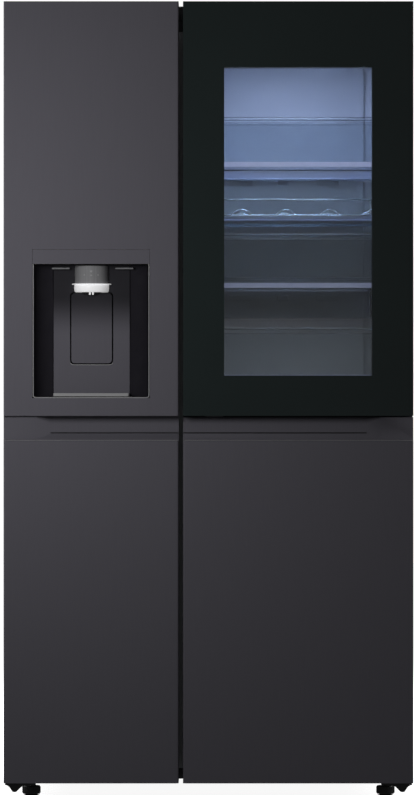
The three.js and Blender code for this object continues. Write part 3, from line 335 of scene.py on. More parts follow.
def grained(name, dark, light, roughness, grain, size, bump, spread=0.06, detail=3.0, **sockets):
    """A material whose colour, gloss and height follow a noise with a stretched grain."""
    found = bpy.data.materials.get(name)
    if found:
        return found
    made = bpy.data.materials.new(name)
    made.use_nodes = True
    nodes, link = made.node_tree.nodes, made.node_tree.links.new
    shader = nodes["Principled BSDF"]
    for socket, value in sockets.items():
        shader.inputs[socket.replace("_", " ")].default_value = value
    place = nodes.new("ShaderNodeTexCoord")
    stretch = nodes.new("ShaderNodeMapping")
    stretch.inputs["Scale"].default_value = grain
    noise = nodes.new("ShaderNodeTexNoise")
    noise.inputs["Scale"].default_value = size
    noise.inputs["Detail"].default_value = detail
    colours = nodes.new("ShaderNodeValToRGB")
    colours.color_ramp.elements[0].position = 0.3
    colours.color_ramp.elements[0].color = (*dark, 1)
    colours.color_ramp.elements[1].position = 0.7
    colours.color_ramp.elements[1].color = (*light, 1)
    gloss = nodes.new("ShaderNodeMapRange")
    gloss.inputs["To Min"].default_value = max(roughness - spread, 0.02)
    gloss.inputs["To Max"].default_value = roughness + spread
    relief = nodes.new("ShaderNodeBump")
    relief.inputs["Strength"].default_value = bump
    relief.inputs["Distance"].default_value = 0.0004
    link(place.outputs["Object"], stretch.inputs["Vector"])
    link(stretch.outputs["Vector"], noise.inputs["Vector"])
    link(noise.outputs["Fac"], colours.inputs["Fac"])
    link(noise.outputs["Fac"], gloss.inputs["Value"])
    link(noise.outputs["Fac"], relief.inputs["Height"])
    link(colours.outputs["Color"], shader.inputs["Base Color"])
    link(gloss.outputs["Result"], shader.inputs["Roughness"])
    link(relief.outputs["Normal"], shader.inputs["Normal"])
    return made


def shade(colour, factor):
    return tuple(channel * factor for channel in colour)


def door_paint():
    """Satin graphite coat with a hair-fine upright brushing under it."""
    colour = bpy.context.scene.fridge_doors.colour
    return grained(
        "Graphite door coat", shade(colour, 0.97), shade(colour, 1.03), 0.62,
        (900, 900, 14), 1.0, 0.05, spread=0.03, Metallic=0.0, Specular_IOR_Level=0.18,
    )


def niche_coat_painted_shade():
    """Door coat with painted shade: it darkens towards the head, where the niche's ceiling and head
    would shade it.
    """
    found = bpy.data.materials.get("Niche coat with painted shade")
    if found:
        return found
    made = door_paint().copy()
    made.name = "Niche coat with painted shade"
    paddle_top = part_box("dispenser_paddle")[1].z
    nodes, link = made.node_tree.nodes, made.node_tree.links.new
    place = next(n for n in nodes if n.type == "TEX_COORD")
    colours = next(n for n in nodes if n.type == "VALTORGB")
    height = nodes.new("ShaderNodeSeparateXYZ")
    painted_shade_ramp = nodes.new("ShaderNodeMapRange")
    painted_shade_ramp.interpolation_type = "SMOOTHSTEP"
    painted_shade_ramp.inputs["From Min"].default_value = paddle_top - 4 * MM
    painted_shade_ramp.inputs["From Max"].default_value = paddle_top - 100 * MM
    painted_shade_ramp.inputs["To Min"].default_value = 0.18
    painted_shade_ramp.inputs["To Max"].default_value = 1.0
    tint = nodes.new("ShaderNodeMix")
    tint.data_type, tint.blend_type = "RGBA", "MIX"
    dark, light, mixed = tint.inputs[6], tint.inputs[7], tint.outputs[2]
    # This near-black end of the mix is the painted shade near the head.
    dark.default_value = (0.006, 0.006, 0.007, 1)
    link(place.outputs["Object"], height.inputs["Vector"])
    link(height.outputs["Z"], painted_shade_ramp.inputs["Value"])
    link(painted_shade_ramp.outputs["Result"], tint.inputs["Factor"])
    link(colours.outputs["Color"], light)
    link(mixed, nodes["Principled BSDF"].inputs["Base Color"])
    return made


def case_paint():
    return grained(
        "Grey case paint", (0.060, 0.060, 0.066), (0.070, 0.070, 0.076), 0.5,
        (1, 1, 1), 900, 0.12, spread=0.05, Metallic=0.1,
    )


def printed_glass():
    colour = bpy.context.scene.fridge_doors.glass
    return grained(
        "Black printed glass", colour, shade(colour, 1.15), 0.07, (1, 1, 1), 3, 0.0,
        spread=0.015,
    )


def clear_glass(name, colour, roughness, ior=1.45):
    return grained(
        name, colour, shade(colour, 1.03), roughness, (1, 1, 1), 8, 0.0, spread=0.008,
        Transmission_Weight=1.0, IOR=ior,
    )


def pane_glass():
    return clear_glass("Clear pane", (0.95, 0.97, 0.98), 0.012)


def shelf_glass():
    return clear_glass("Green-edged shelf glass", bpy.context.scene.fridge_inside.shelf, 0.02)


def clear_plastic():
    colour = bpy.context.scene.fridge_inside.clear
    return grained(
        "Clear polystyrene", shade(colour, 0.97), colour, 0.02, (1, 1, 1), 30, 0.01,
        spread=0.01, Transmission_Weight=0.96, IOR=1.46,
    )


def frosted_rim():
    return grained(
        "Polished plastic rim", (0.62, 0.68, 0.74), (0.72, 0.78, 0.84), 0.16, (1, 1, 1), 60,
        0.05, spread=0.05, Transmission_Weight=0.55, IOR=1.46,
    )


def painted_glow_plastic(name, strength):
    """Clear plastic with an emission that paints a glow on it, though it is no lamp."""
    return grained(
        name, (0.50, 0.55, 0.66), (0.58, 0.63, 0.74), 0.2, (1, 1, 1), 60, 0.05,
        spread=0.05, Transmission_Weight=0.3, IOR=1.46,
        Emission_Color=(0.46, 0.50, 0.78, 1), Emission_Strength=strength,
    )


# Blue-grey tint: painted cool light of the inside lamp on the trims' fronts.
def shelf_trim_painted_cool_light():
    return grained(
        "Shelf trim tinted with painted cool light", (0.34, 0.40, 0.54), (0.40, 0.46, 0.60), 0.32, (4, 700, 700), 1.0,
        0.06, spread=0.05, Metallic=0.5,
    )


def liner_plastic():
    colour = bpy.context.scene.fridge_inside.liner
    return grained(
        "White liner plastic", shade(colour, 0.98), colour, 0.36, (1, 1, 1), 420, 0.10,
        spread=0.06,
    )


def white_plastic():
    return grained(
        "White moulded plastic", (0.66, 0.68, 0.70), (0.72, 0.74, 0.76), 0.34, (1, 1, 1), 700,
        0.08, spread=0.05,
    )


def black_plastic():
    return grained(
        "Black textured plastic", (0.010, 0.010, 0.011), (0.018, 0.018, 0.019), 0.46,
        (1, 1, 1), 1400, 0.30, spread=0.09,
    )


def gloss_plastic():
    return grained(
        "Dark gloss plastic", (0.015, 0.014, 0.018), (0.018, 0.017, 0.021), 0.55, (1, 1, 1),
        40, 0.02, spread=0.03, Specular_IOR_Level=0.12,
    )


def seal_rubber():
    return grained(
        "Grey door seal", (0.085, 0.085, 0.092), (0.115, 0.115, 0.123), 0.62, (40, 40, 1), 30,
        0.25, spread=0.08,
    )


def dark_rubber():
    return grained(
        "Black rubber", (0.012, 0.012, 0.012), (0.022, 0.022, 0.022), 0.72, (1, 1, 1), 900,
        0.35, spread=0.10,
    )


def chrome():
    return grained(
        "Bright chrome", (0.80, 0.81, 0.83), (0.86, 0.87, 0.89), 0.09, (1, 1, 1), 25, 0.02,
        spread=0.03, Metallic=1.0,
    )


def smoked_chrome():
    return grained(
        "Smoked chrome", (0.040, 0.040, 0.044), (0.050, 0.050, 0.054), 0.22, (1, 1, 1), 25, 0.02,
        spread=0.04, Metallic=0.9,
    )


# Pale satin metal with an emission: a painted glow for the bright reflection of the ring and spouts,
# though they are no lamp.
def pearl_chrome_painted_glow():
    return grained(
        "Pearl chrome with painted glow", (0.90, 0.90, 0.92), (0.96, 0.96, 0.98), 0.34, (1, 1, 1), 60, 0.02,
        spread=0.04, Metallic=0.2, Emission_Color=(1, 1, 1, 1), Emission_Strength=0.30,
    )


def satin_steel():
    return grained(
        "Satin steel", (0.46, 0.46, 0.47), (0.54, 0.54, 0.55), 0.34, (4, 900, 900), 1.0, 0.10,
        spread=0.07, Metallic=0.45,
    )


def unlit_lens():
    return grained(
        "Unlit lamp lens", (0.17, 0.17, 0.18), (0.21, 0.21, 0.22), 0.40, (1, 1, 1), 200, 0.05,
        spread=0.05,
    )


def dark_steel():
    return grained(
        "Dark brushed steel", (0.27, 0.27, 0.28), (0.33, 0.33, 0.34), 0.42, (300, 300, 6), 1.0,
        0.04, spread=0.04, Metallic=0.35,
    )


def plated_steel():
    return grained(
        "Zinc plated steel", (0.40, 0.41, 0.42), (0.58, 0.58, 0.58), 0.40, (1, 1, 1), 90, 0.10,
        spread=0.12, Metallic=0.9,
    )


def aluminium():
    return grained(
        "Anodised aluminium", (0.66, 0.68, 0.71), (0.74, 0.76, 0.79), 0.30, (4, 700, 700), 1.0,
        0.06, spread=0.05, Metallic=0.2,
    )


def foam():
    return grained(
        "Insulating foam", (0.58, 0.50, 0.30), (0.72, 0.64, 0.42), 0.9, (1, 1, 1), 160, 0.6,
        spread=0.05, detail=6.0,
    )


def black_enamel():
    return grained(
        "Black enamel", (0.012, 0.012, 0.014), (0.020, 0.020, 0.022), 0.32, (1, 1, 1), 70,
        0.12, spread=0.08,
    )


def lamp_cover():
    return grained(
        "Lit lamp cover", (0.75, 0.86, 1.0), (0.85, 0.93, 1.0), 0.30, (1, 1, 1), 200, 0.1,
        Emission_Color=(0.72, 0.86, 1.0, 1), Emission_Strength=2.2,
    )


def finish_node(material, *nodes):
    """Gives CAD nodes that stay their material."""
    for node in nodes:
        for slot in frame["nodes"][node].material_slots:
            slot.material = material


# ---------- the pieces ----------


class BuildStep(Operator):
    """Common ground of the operators that build pieces."""

    bl_options = {"REGISTER", "UNDO"}

    def execute(self, context):
        self.build(context.scene)
        return {"FINISHED"}


def screw_head(at, axis, radius=0.0036):
    """A pan head with a cross slot, as a bmesh; the slot is not cut, but black bars in the second
    material paint its shade.
    """
    head = turned(
        [(0, 0.0022), (radius * 0.55, 0.0020), (radius * 0.92, 0.0012), (radius, 0), (0, 0)],
        Vector(at), Vector(axis), 18,
    )
    bar = radius * 0.16
    turn = Vector(axis).to_track_quat("Z", "Y").to_matrix().to_4x4()
    for turned_by in (0, pi / 2):
        slot = block((-radius * 0.6, -bar, 0.0017), (radius * 0.6, bar, 0.0023))
        bmesh.ops.transform(
            slot, matrix=Matrix.Translation(at) @ turn @ Matrix.Rotation(turned_by, 4, "Z"),
            verts=slot.verts,
        )
        # Black bars: painted shade of the cross recess.
        join(head, painted(slot, 1))
    return head


class FRIDGE_OT_cabinet(BuildStep):
    """Case, back panel, covers and the screws that hold them"""

    bl_idname = "fridge.cabinet"
    bl_label = "Cabinet"

    def build(self, scene):
        finish_node(case_paint(), "outer_case", "base_plate")
        finish_node(aluminium(), "mullion_cover")
        finish_node(plated_steel(), "back_panel")
        finish_node(foam(), "foam_insulation", "freezer_door_foam", "fridge_door_foam")
        finish_node(dark_rubber(), "cable_gland")
        finish_node(black_plastic(), "machine_cover")
        piece(
            "top_cover_shell", softened("top_cover", 2.5 * MM), "cabinet", "black_plastic",
            black_plastic(), replaces=["top_cover"],
        )
        self.back_screws()
        self.side_seams()

    def back_screws(self):
        lo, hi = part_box("back_panel")
        rows, sheet_y, side_inset, end_inset = 6, 363.2 * MM, 12 * MM, 20 * MM
        pitch = (hi.z - lo.z - 2 * end_inset) / (rows - 1)
        heads = [
            screw_head((x, sheet_y, lo.z + end_inset + pitch * row), BIG_Y)
            for x in (lo.x + side_inset, (lo.x + hi.x) / 2, hi.x - side_inset)
            for row in range(rows)
        ]
        steel_and_painted_slot_shade = plated_steel(), black_plastic()
        piece("back_panel_screws", join(*heads), "cabinet", "steel", *steel_and_painted_slot_shade)
        lo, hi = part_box("machine_cover")
        heads = [
            screw_head((x, hi.y, z), BIG_Y)
            for x in (lo.x + 16 * MM, -140 * MM, 140 * MM, hi.x - 16 * MM)
            for z in (lo.z + 14 * MM, hi.z - 14 * MM)
        ]
        piece("machine_cover_screws", join(*heads), "cabinet", "steel", *steel_and_painted_slot_shade)

    def side_seams(self):
        """The folded rear flange of each side sheet."""
        lo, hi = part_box("outer_case")
        width, thickness, above_foot = 14 * MM, 1.2 * MM, 250 * MM
        strips = []
        for x in (lo.x, hi.x):
            left, right = sorted((x, x + width if x < 0 else x - width))
            strips.append(plate(
                (left, hi.y, lo.z + above_foot), (right, hi.y + thickness, hi.z),
                Y, 2 * MM, 0.4 * MM,
            ))
        piece("rear_flanges", join(*strips), "cabinet", "case_paint", case_paint())


class FRIDGE_OT_liners(BuildStep):
    """Moulded linings of the compartments, their rails, ducts and lamp"""

    bl_idname = "fridge.liners"
    bl_label = "Liners"

    def build(self, scene):
        for side in ("freezer", "fridge"):
            rim_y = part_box(side + "_liner")[0].y

            def deep(edge, front=rim_y + 4 * MM):
                """Upright corners behind the front rim."""
                return runs_along(edge, Z) and min(v.co.y for v in edge.verts) > front

            lining = softened(side + "_liner", scene.fridge_inside.corner, 5, keep=deep)
            piece(
                side + "_lining", lining, "cabinet", "white_plastic", liner_plastic(),
                replaces=[side + "_liner"], smooth=30,
            )
        self.lamp()
        for node, rise in (("fridge_duct_cover", 25 * MM), ("freezer_duct_cover", 0)):
            cover = softened(node, 2.0 * MM)
            below_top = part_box(node)[1].z - 3 * MM
            top = [v for v in cover.verts if v.co.z > below_top]
            bmesh.ops.translate(cover, vec=(0, 0, rise), verts=top)
            piece(
                node + "_moulding", cover, "cabinet", "white_plastic", liner_plastic(),
                replaces=[node],
            )

    def lamp(self):
        lo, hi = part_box("fridge_lamp")
        cover = plate(lo, hi, Z, 12 * MM, 3 * MM)
        piece(
            "fridge_lamp_cover", cover, "cabinet", "clear_plastic", lamp_cover(),
            replaces=["fridge_lamp"],
        )
        rim = level_frame(lo + metres(-4, -4, 3.6), hi + metres(4, 4, 0.2), 4 * MM)
        piece("fridge_lamp_rim", rim, "cabinet", "white_plastic", white_plastic())


def level_frame(lo, hi, width):
    """A flat rectangular frame with round corners, lying level between two corners."""
    bm = plate(lo, hi, Z, 14 * MM)
    flats = [f for f in bm.faces if abs(f.normal.z) > 0.99]
    bmesh.ops.inset_individual(bm, faces=flats, thickness=width, use_even_offset=True)
    edges = [edge for flat in flats for edge in flat.edges]
    bmesh.ops.delete(bm, geom=flats, context="FACES_ONLY")
    bmesh.ops.bridge_loops(bm, edges=edges)
    bmesh.ops.recalc_face_normals(bm, faces=bm.faces)
    return bm


class FRIDGE_OT_door_panels(BuildStep):
    """Pressed door panels, their linings and end caps"""

    bl_idname = "fridge.door_panels"
    bl_label = "Door panels"

    def build(self, scene):
        for side in ("freezer", "fridge"):
            lo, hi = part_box(side + "_door_skin")

            def outer(edge, lo=lo, hi=hi):
                """Edges that a hand can touch from outside."""
                at = (edge.verts[0].co + edge.verts[1].co) / 2
                if edge.calc_length() <= 4 * MM:
                    return False
                if abs(at.y - lo.y) < 2 * NEAR:
                    return True
                on_end = min(abs(at.z - lo.z), abs(at.z - hi.z)) < 2 * NEAR
                on_side = abs(at.x - lo.x) * abs(at.x - hi.x) < 1e-7
                return on_end and on_side and at.y < hi.y - 4 * MM

            width = scene.fridge_doors.edge
            panel = softened(side + "_door_skin", width, 3, keep=outer, sharper_than=50)
            piece(
                side + "_door_panel", panel, side + "_door", "door_finish", door_paint(),
                replaces=[side + "_door_skin"],
            )
            lining = softened(side + "_door_liner", 1.0 * MM, 2)
            piece(
                side + "_door_lining", lining, side + "_door", "white_plastic", liner_plastic(),
                replaces=[side + "_door_liner"],
            )
        self.end_caps()
        self.paint_groove_shadow_and_highlight()

    def paint_groove_shadow_and_highlight(self):
        """A black strip that paints the shadow at the foot of each grip groove, and a satin bead that
        paints the highlight along its lower lip.
        """
        floor_z, lip_z, depth = 824.5 * MM, 809.3 * MM, 30 * MM
        ramp, inset, height, thickness = 104 * MM, 0.6 * MM, 2.4 * MM, 0.7 * MM
        for side in ("freezer", "fridge"):
            body = side + "_door"
            lo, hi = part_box(side + "_door_skin")
            left, right = (ramp, inset) if side == "freezer" else (inset, ramp)
            rear = lo.y + depth - NEAR
            # Black strip: painted shadow in the groove's inner corner.
            strip = block(
                (lo.x + left, rear - thickness, floor_z), (hi.x - right, rear, floor_z + height),
            )
            piece(side + "_groove_painted_shadow", strip, body, "black_plastic", black_plastic())
            # Satin bead: painted highlight on the lip's edge.
            ends = [(x, lo.y + 0.3 * MM, lip_z) for x in (lo.x + 2 * MM, hi.x - 2 * MM)]
            bead = wire(ends, 0.45 * MM)
            piece(side + "_groove_painted_highlight", bead, body, "door_finish", satin_steel())

    def end_caps(self):
        """Black strips along the lower ends of the doors, behind the front sheet."""
        for side in ("freezer", "fridge"):
            lo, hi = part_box(side + "_door_skin")
            top_corner = Vector((hi.x - 4 * MM, hi.y - 4 * MM, lo.z + 0.8 * MM))
            cap = plate(lo + metres(4, 3, -0.4), top_corner, Z, 3 * MM)
            piece(side + "_door_end_cap", cap, side + "_door", "black_plastic", black_plastic())


class FRIDGE_OT_window(BuildStep):
    """Glass front of the window door, its frame, inner pane and release button"""

    bl_idname = "fridge.window"
    bl_label = "Window door"

    def build(self, scene):
        frame_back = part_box("window_door_frame")[1].y
        lo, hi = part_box("window_glass")
        clear_lo, clear_hi = metres(35, 0, 953.6), metres(364.7, 0, 1640.6)

        def in_front(edge):
            return max(v.co.y for v in edge.verts) < lo.y + NEAR

        glass = block(lo, hi)
        corners = [e for e in glass.edges if runs_along(e, Z) and in_front(e)]
        bevel(glass, corners, 1.6 * MM, 4)
        bevel(glass, [e for e in sharp_edges(glass, 60) if in_front(e)], 0.7 * MM, 2)
        self.mark_window(glass, clear_lo, clear_hi)
        piece(
            "window_glass_front", glass, "window_door", "black_glass", printed_glass(),
            pane_glass(), replaces=["window_glass"],
        )
        inner = plate(
            (clear_lo.x, frame_back - 5.5 * MM, clear_lo.z),
            (clear_hi.x, frame_back - 2.5 * MM, clear_hi.z), Y, 0.4 * MM, 0, 1,
        )
        piece("window_inner_pane", inner, "window_door", "shelf_glass", pane_glass())
        surround = softened("window_door_frame", 0.8 * MM)
        piece(
            "window_door_surround", surround, "window_door", "black_plastic", black_plastic(),
            replaces=["window_door_frame"],
        )
        finish_node(dark_rubber(), "window_door_gasket")
        lo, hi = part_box("release_button")
        button = plate(lo, hi, Z, 5.5 * MM, 0.8 * MM, 8)
        piece(
            "release_button_cap", button, "release_button", "chrome", smoked_chrome(),
            replaces=["release_button"],
        )

    def mark_window(self, bm, lo, hi):
        """Splits a pane at the clear part's edges and puts that part in the second slot."""
        for at, normal in ((lo, BIG_X), (hi, BIG_X), (lo, BIG_Z), (hi, BIG_Z)):
            everything = [*bm.verts, *bm.edges, *bm.faces]
            bmesh.ops.bisect_plane(bm, geom=everything, plane_co=at, plane_no=normal, dist=1e-6)
        for face in bm.faces:
            at = face.calc_center_median()
            if lo.x < at.x < hi.x and lo.z < at.z < hi.z:
                face.material_index = 1


class FRIDGE_OT_dispenser(BuildStep):
    """Recess, head, paddle, lights and drip tray of the dispenser"""

    bl_idname = "fridge.dispenser"
    bl_label = "Dispenser"

    def build(self, scene):
        self.recess()
        self.control_strip()
        self.bezel(scene.fridge_doors.bezel)
        self.head()
        self.paddle()
        self.tray(scene.fridge_doors.slots)
        self.light_strips()
        self.ice_bin()

    def recess(self):
        """A niche with hollow curved cheeks, open in the middle for its flat back."""
        lo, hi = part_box("dispenser_housing")
        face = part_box("dispenser_paddle")[0].y + 0.6 * MM
        left, right = lo.x + 3.5 * MM, hi.x - 3.5 * MM
        front, floor, ceiling = lo.y + 1.2 * MM, lo.z + 2.2 * MM, hi.z - 0.8 * MM
        cheek, steps = 42 * MM, 14
        angles = [pi / 2 * i / steps for i in range(steps + 1)]
        curve = [(cheek * (1 - cos(a)), front + (face - front) * sin(a)) for a in angles]
        outline = [(left + across, y) for across, y in curve]
        outline += [(left + cheek, face), (right - cheek, face)]
        outline += [(right - across, y) for across, y in reversed(curve)]
        bm = bmesh.new()
        verts = [bm.verts.new((x, y, floor)) for x, y in outline]
        bmesh.ops.remove_doubles(bm, verts=bm.verts, dist=1e-6)
        verts = [v for v in verts if v.is_valid]
        edges = [bm.edges.new(pair) for pair in zip(verts, verts[1:])]
        back_edge = max(edges, key=lambda e: e.calc_length())
        made = bmesh.ops.extrude_edge_only(bm, edges=edges)["geom"]
        top = [v for v in made if isinstance(v, bmesh.types.BMVert)]
        bmesh.ops.translate(bm, vec=(0, 0, ceiling - floor), verts=top)
        back = [f for f in bm.faces if back_edge in f.edges]
        bm.faces.new(verts)
        bm.faces.new([v for v in bm.verts if v in top])
        bmesh.ops.recalc_face_normals(bm, faces=bm.faces)
        bmesh.ops.reverse_faces(bm, faces=bm.faces)
        bmesh.ops.delete(bm, geom=back, context="FACES_ONLY")
        niche = piece(
            "dispenser_niche", bm, "freezer_door", "dark_gloss_plastic", gloss_plastic(),
            replaces=["dispenser_housing"], smooth=30,
        )
        thicken(niche, 1.5 * MM)
        self.back_panel((left + cheek, right - cheek), face, (floor, ceiling))

    def back_panel(self, x, y, z):
        """The flat back of the niche, cut out round the paddle, with a dark pocket behind."""
        lo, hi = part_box("dispenser_paddle")
        gap, corner, thickness, room = 2.8 * MM, 10.8 * MM, 1.8 * MM, 6 * MM
        sheet = [(x[0], y, z[0]), (x[1], y, z[0]), (x[1], y, z[1]), (x[0], y, z[1])]
        hole = loop_path((lo.x - gap, hi.x + gap), (lo.z - gap, hi.z + gap), y, corner)
        bm = bmesh.new()
        edges = []
        for loop in (sheet, hole):
            verts = [bm.verts.new(point) for point in loop]
            edges += [bm.edges.new((verts[i - 1], verts[i])) for i in range(len(verts))]
        bmesh.ops.triangle_fill(bm, edges=edges, use_beauty=True)
        grown = bmesh.ops.extrude_face_region(bm, geom=bm.faces[:], use_keep_orig=True)["geom"]
        rear = [v for v in grown if isinstance(v, bmesh.types.BMVert)]
        bmesh.ops.translate(bm, vec=(0, thickness, 0), verts=rear)
        bmesh.ops.recalc_face_normals(bm, faces=bm.faces)
        # The back's coat darkens towards the top: painted shade under the niche's ceiling and head.
        piece("dispenser_back", bm, "freezer_door", "door_finish", niche_coat_painted_shade())
        pocket = block(
            (lo.x - room, y + thickness + NEAR, lo.z - room),
            (hi.x + room, hi.y + 2 * room, hi.z + room),
        )
        mouth = [f for f in pocket.faces if f.normal.y < -0.9]
        bmesh.ops.delete(pocket, geom=mouth, context="FACES_ONLY")
        box = piece("dispenser_pocket", pocket, "freezer_door", "black_plastic", black_plastic())
        thicken(box, 1.2 * MM)

    def control_strip(self):
        lo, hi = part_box("dispenser_panel")
        strip = plate(lo, hi, Y, 1.5 * MM, 0.5 * MM, 4)
        piece(
            "dispenser_strip", strip, "freezer_door", "door_finish", door_paint(),
            replaces=["dispenser_panel"],
        )

    def bezel(self, width):
        """The thin satin lip round the niche, open at the top."""
        lo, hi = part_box("dispenser_housing")
        left, right = lo.x + 1.6 * MM, hi.x - 1.6 * MM
        y, foot = lo.y + 0.6 * MM, lo.z + 0.6 * MM
        path = rounded_path(
            [(left, y, hi.z), (left, y, foot), (right, y, foot), (right, y, hi.z)], 6 * MM,
        )
        piece("dispenser_bezel", wire(path, width / 2), "freezer_door", "steel", satin_steel())

    def head(self):
        """Drum, flange, ring, two nozzles, ice chute and plain buttons."""
        lo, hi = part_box("dispenser_head")
        reach = (hi.x - lo.x) / 2
        radius = reach - 7.2 * MM
        axis = (lo + hi) / 2 + metres(0, -2, 0)
        flange, ring, foot = lo.z + 25 * MM, lo.z + 22.5 * MM, lo.z + 6 * MM
        drum, band, lip_rise = hi.z - flange - 0.6 * MM, ring - foot, 2.2 * MM

        def at(height):
            return Vector((axis.x, axis.y, height))

        body = turned([(0, 0), (radius, 0), (radius, drum), (0, drum)], at(flange), BIG_Z, 64)
        piece(
            "dispenser_head_body", body, "freezer_door", "tray_steel", dark_steel(),
            replaces=["dispenser_head"],
        )
        lip = turned(
            [(0, 0), (reach - 0.0012, 0), (reach - 0.0004, 0.0006), (reach - 0.0012, lip_rise),
             (0, lip_rise)],
            at(flange - lip_rise), BIG_Z, 64,
        )
        shell = turned(
            [(0, 0), (radius - 0.0015, 0), (radius + 0.0005, 0.002), (radius + 0.0015, 0.009),
             (radius + 0.0010, band), (0, band)],
            at(foot), BIG_Z, 64,
        )
        # Ring, lip and spouts glow with painted light.
        piece("dispenser_head_ring", join(lip, shell), "freezer_door", "chrome", pearl_chrome_painted_glow())
        spouts = []
        for side in (-1, 1):
            aside = metres(side * 3.4, -20, 0)
            top, tip = at(foot + 1 * MM) + aside, at(lo.z) + aside
            spouts.append(rod(top, tip, 2.3 * MM, 1.9 * MM, 20, 0.3 * MM))
        piece("dispenser_spouts", join(*spouts), "freezer_door", "chrome", pearl_chrome_painted_glow())
        chute = turned(
            [(0.018, 0), (0.021, 0), (0.024, 0.012), (0.021, 0.012), (0.018, 0)],
            at(foot - 4.5 * MM) + metres(0, 8, 0), BIG_Z, 40,
        )
        piece("dispenser_ice_chute", chute, "freezer_door", "black_plastic", black_plastic())
        buttons = []
        for across, height, size in ((0, 27, 2.6), (0, 18, 2.0), (-15, 19, 1.8), (15, 19, 1.8)):
            depth = sqrt(radius ** 2 - (across * MM) ** 2)
            root = at(flange + height * MM) + Vector((across * MM, 0.6 * MM - depth, 0))
            out = Vector((across * MM, -depth, 0)).normalized() * 1.4 * MM
            buttons.append(rod(root, root + out, size * MM, sides=28, edge=0.4 * MM))
        piece("dispenser_buttons", join(*buttons), "freezer_door", "steel", satin_steel())

    def paddle(self):
        """A swinging plate on two arms, and a bright wire round the foot of its hole that paints the
        highlight on the hole's lower edge.
        """
        lo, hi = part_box("dispenser_paddle")
        face = plate(lo, (hi.x, lo.y + 6 * MM, hi.z), Y, 8 * MM, 0.8 * MM, 8)
        arms = [
            plate(
                (x - 4 * MM, lo.y + 5 * MM, hi.z - 30 * MM), (x + 4 * MM, hi.y, hi.z - 4 * MM),
                X, 3 * MM, 0.6 * MM, 4,
            )
            for x in (lo.x + 14 * MM, hi.x - 14 * MM)
        ]
        # The paddle's coat darkens towards the top: painted shade under the head.
        piece(
            "dispenser_paddle_plate", join(face, *arms), "dispenser_paddle", "door_finish",
            niche_coat_painted_shade(), replaces=["dispenser_paddle"],
        )
        # The satin wire round the hole's foot is a painted highlight on that edge.
        gap = 3.3 * MM
        left, right = lo.x - gap, hi.x + gap
        y, foot, end = lo.y + 0.8 * MM, lo.z - gap, lo.z + 12 * MM
        lip = rounded_path(
            [(left, y, end), (left, y, foot), (right, y, foot), (right, y, end)], 10.5 * MM,
        )
        made = wire(lip[3:-3], 0.9 * MM)
        piece("dispenser_paddle_painted_highlight", made, "freezer_door", "steel", satin_steel())

    def tray(self, slots):
        """A sunk pan, and bars across it."""
        lo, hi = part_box("drip_tray")
        hi.z -= 2.2 * MM
        pan = block(lo, hi)
        bevel(pan, [e for e in pan.edges if runs_along(e, Z)], 5 * MM, 5)
        top = [f for f in pan.faces if f.normal.z > 0.99]
        bmesh.ops.inset_region(pan, faces=top, thickness=3 * MM, use_even_offset=True)
        bmesh.ops.translate(pan, vec=(0, 0, -5.5 * MM), verts=top[0].verts)
        brim = [e for e in sharp_edges(pan, 60) if max(v.co.z for v in e.verts) > hi.z - NEAR]
        bevel(pan, brim, 0.7 * MM, 2)
        piece(
            "drip_tray_pan", pan, "drip_tray", "tray_steel", satin_steel(), replaces=["drip_tray"],
        )
        bars = []
        end = 6 * MM
        pitch = (hi.x - lo.x - 2 * end) / slots
        half = pitch * 0.28
        for i in range(slots):
            x = lo.x + end + pitch * (i + 0.5)
            bars.append(plate(
                (x - half, lo.y + 5 * MM, hi.z - 4.2 * MM), (x + half, hi.y - 5 * MM, hi.z - 1.6 * MM),
                Z, 2 * MM, 0.5 * MM, 3,
            ))
        piece("drip_tray_grille", join(*bars), "drip_tray", "black_plastic", gloss_plastic())

    def light_strips(self):
        lo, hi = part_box("dispenser_housing")
        half = 20 * MM
        strips = [
            plate(
                (x - half, lo.y + 30 * MM, hi.z - 10.5 * MM), (x + half, lo.y + 36 * MM, hi.z - 7 * MM),
                Y, 1.5 * MM, 0.4 * MM, 4,
            )
            for x in (-330 * MM, -188 * MM)
        ]
        piece("dispenser_light_strips", join(*strips), "freezer_door", "clear_plastic", unlit_lens())

    def ice_bin(self):
        piece(
            "ice_bin", softened("ice_maker", 1.6 * MM), "freezer_door", "white_plastic",
            white_plastic(), replaces=["ice_maker"],
        )


class FRIDGE_OT_shelves(BuildStep):
    """Glass shelves with their front trims, and the crisper cover"""

    bl_idname = "fridge.shelves"
    bl_label = "Shelves"

    def build(self, scene):
        for node in ("shelf_upper", "shelf_middle", "shelf_lower", "crisper_cover",
                     "freezer_shelf_upper", "freezer_shelf_lower"):
            lo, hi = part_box(node)
            pane = plate(
                (lo.x + 1 * MM, lo.y + 10 * MM, hi.z - 5 * MM),
                (hi.x - 1 * MM, hi.y - 10 * MM, hi.z - 1 * MM), Z, 6 * MM, 0.5 * MM, 5,
            )
            piece(node + "_pane", pane, "cabinet", "shelf_glass", shelf_glass(), replaces=[node])
            drop, step = (14 * MM, 5.5 * MM) if node == "shelf_upper" else (0, 0)
            width = 14 * MM
            trims = [
                self.trim(lo.x, hi.x, lo.y, lo.y + width, lo.z - drop, hi.z - step),
                self.trim(lo.x, hi.x, hi.y - width, hi.y, lo.z + 1 * MM, hi.z + 4 * MM),
            ]
            # The trims' tint is painted cool light.
            piece(node + "_trims", join(*trims), "cabinet", "white_plastic", shelf_trim_painted_cool_light())

    def trim(self, x0, x1, y0, y1, z0, z1):
        """A grooved edge moulding that runs the width of a shelf."""
        bm = block((x0, y0, z0), (x1, y1, z1))
        front = [f for f in bm.faces if f.normal.y < -0.99]
        bmesh.ops.inset_region(bm, faces=front, thickness=1.8 * MM, use_even_offset=True)
        bmesh.ops.translate(bm, vec=(0, 1.2 * MM, 0), verts=front[0].verts)
        return bevel(bm, [e for e in sharp_edges(bm, 60) if runs_along(e, X)], 0.6 * MM, 2)


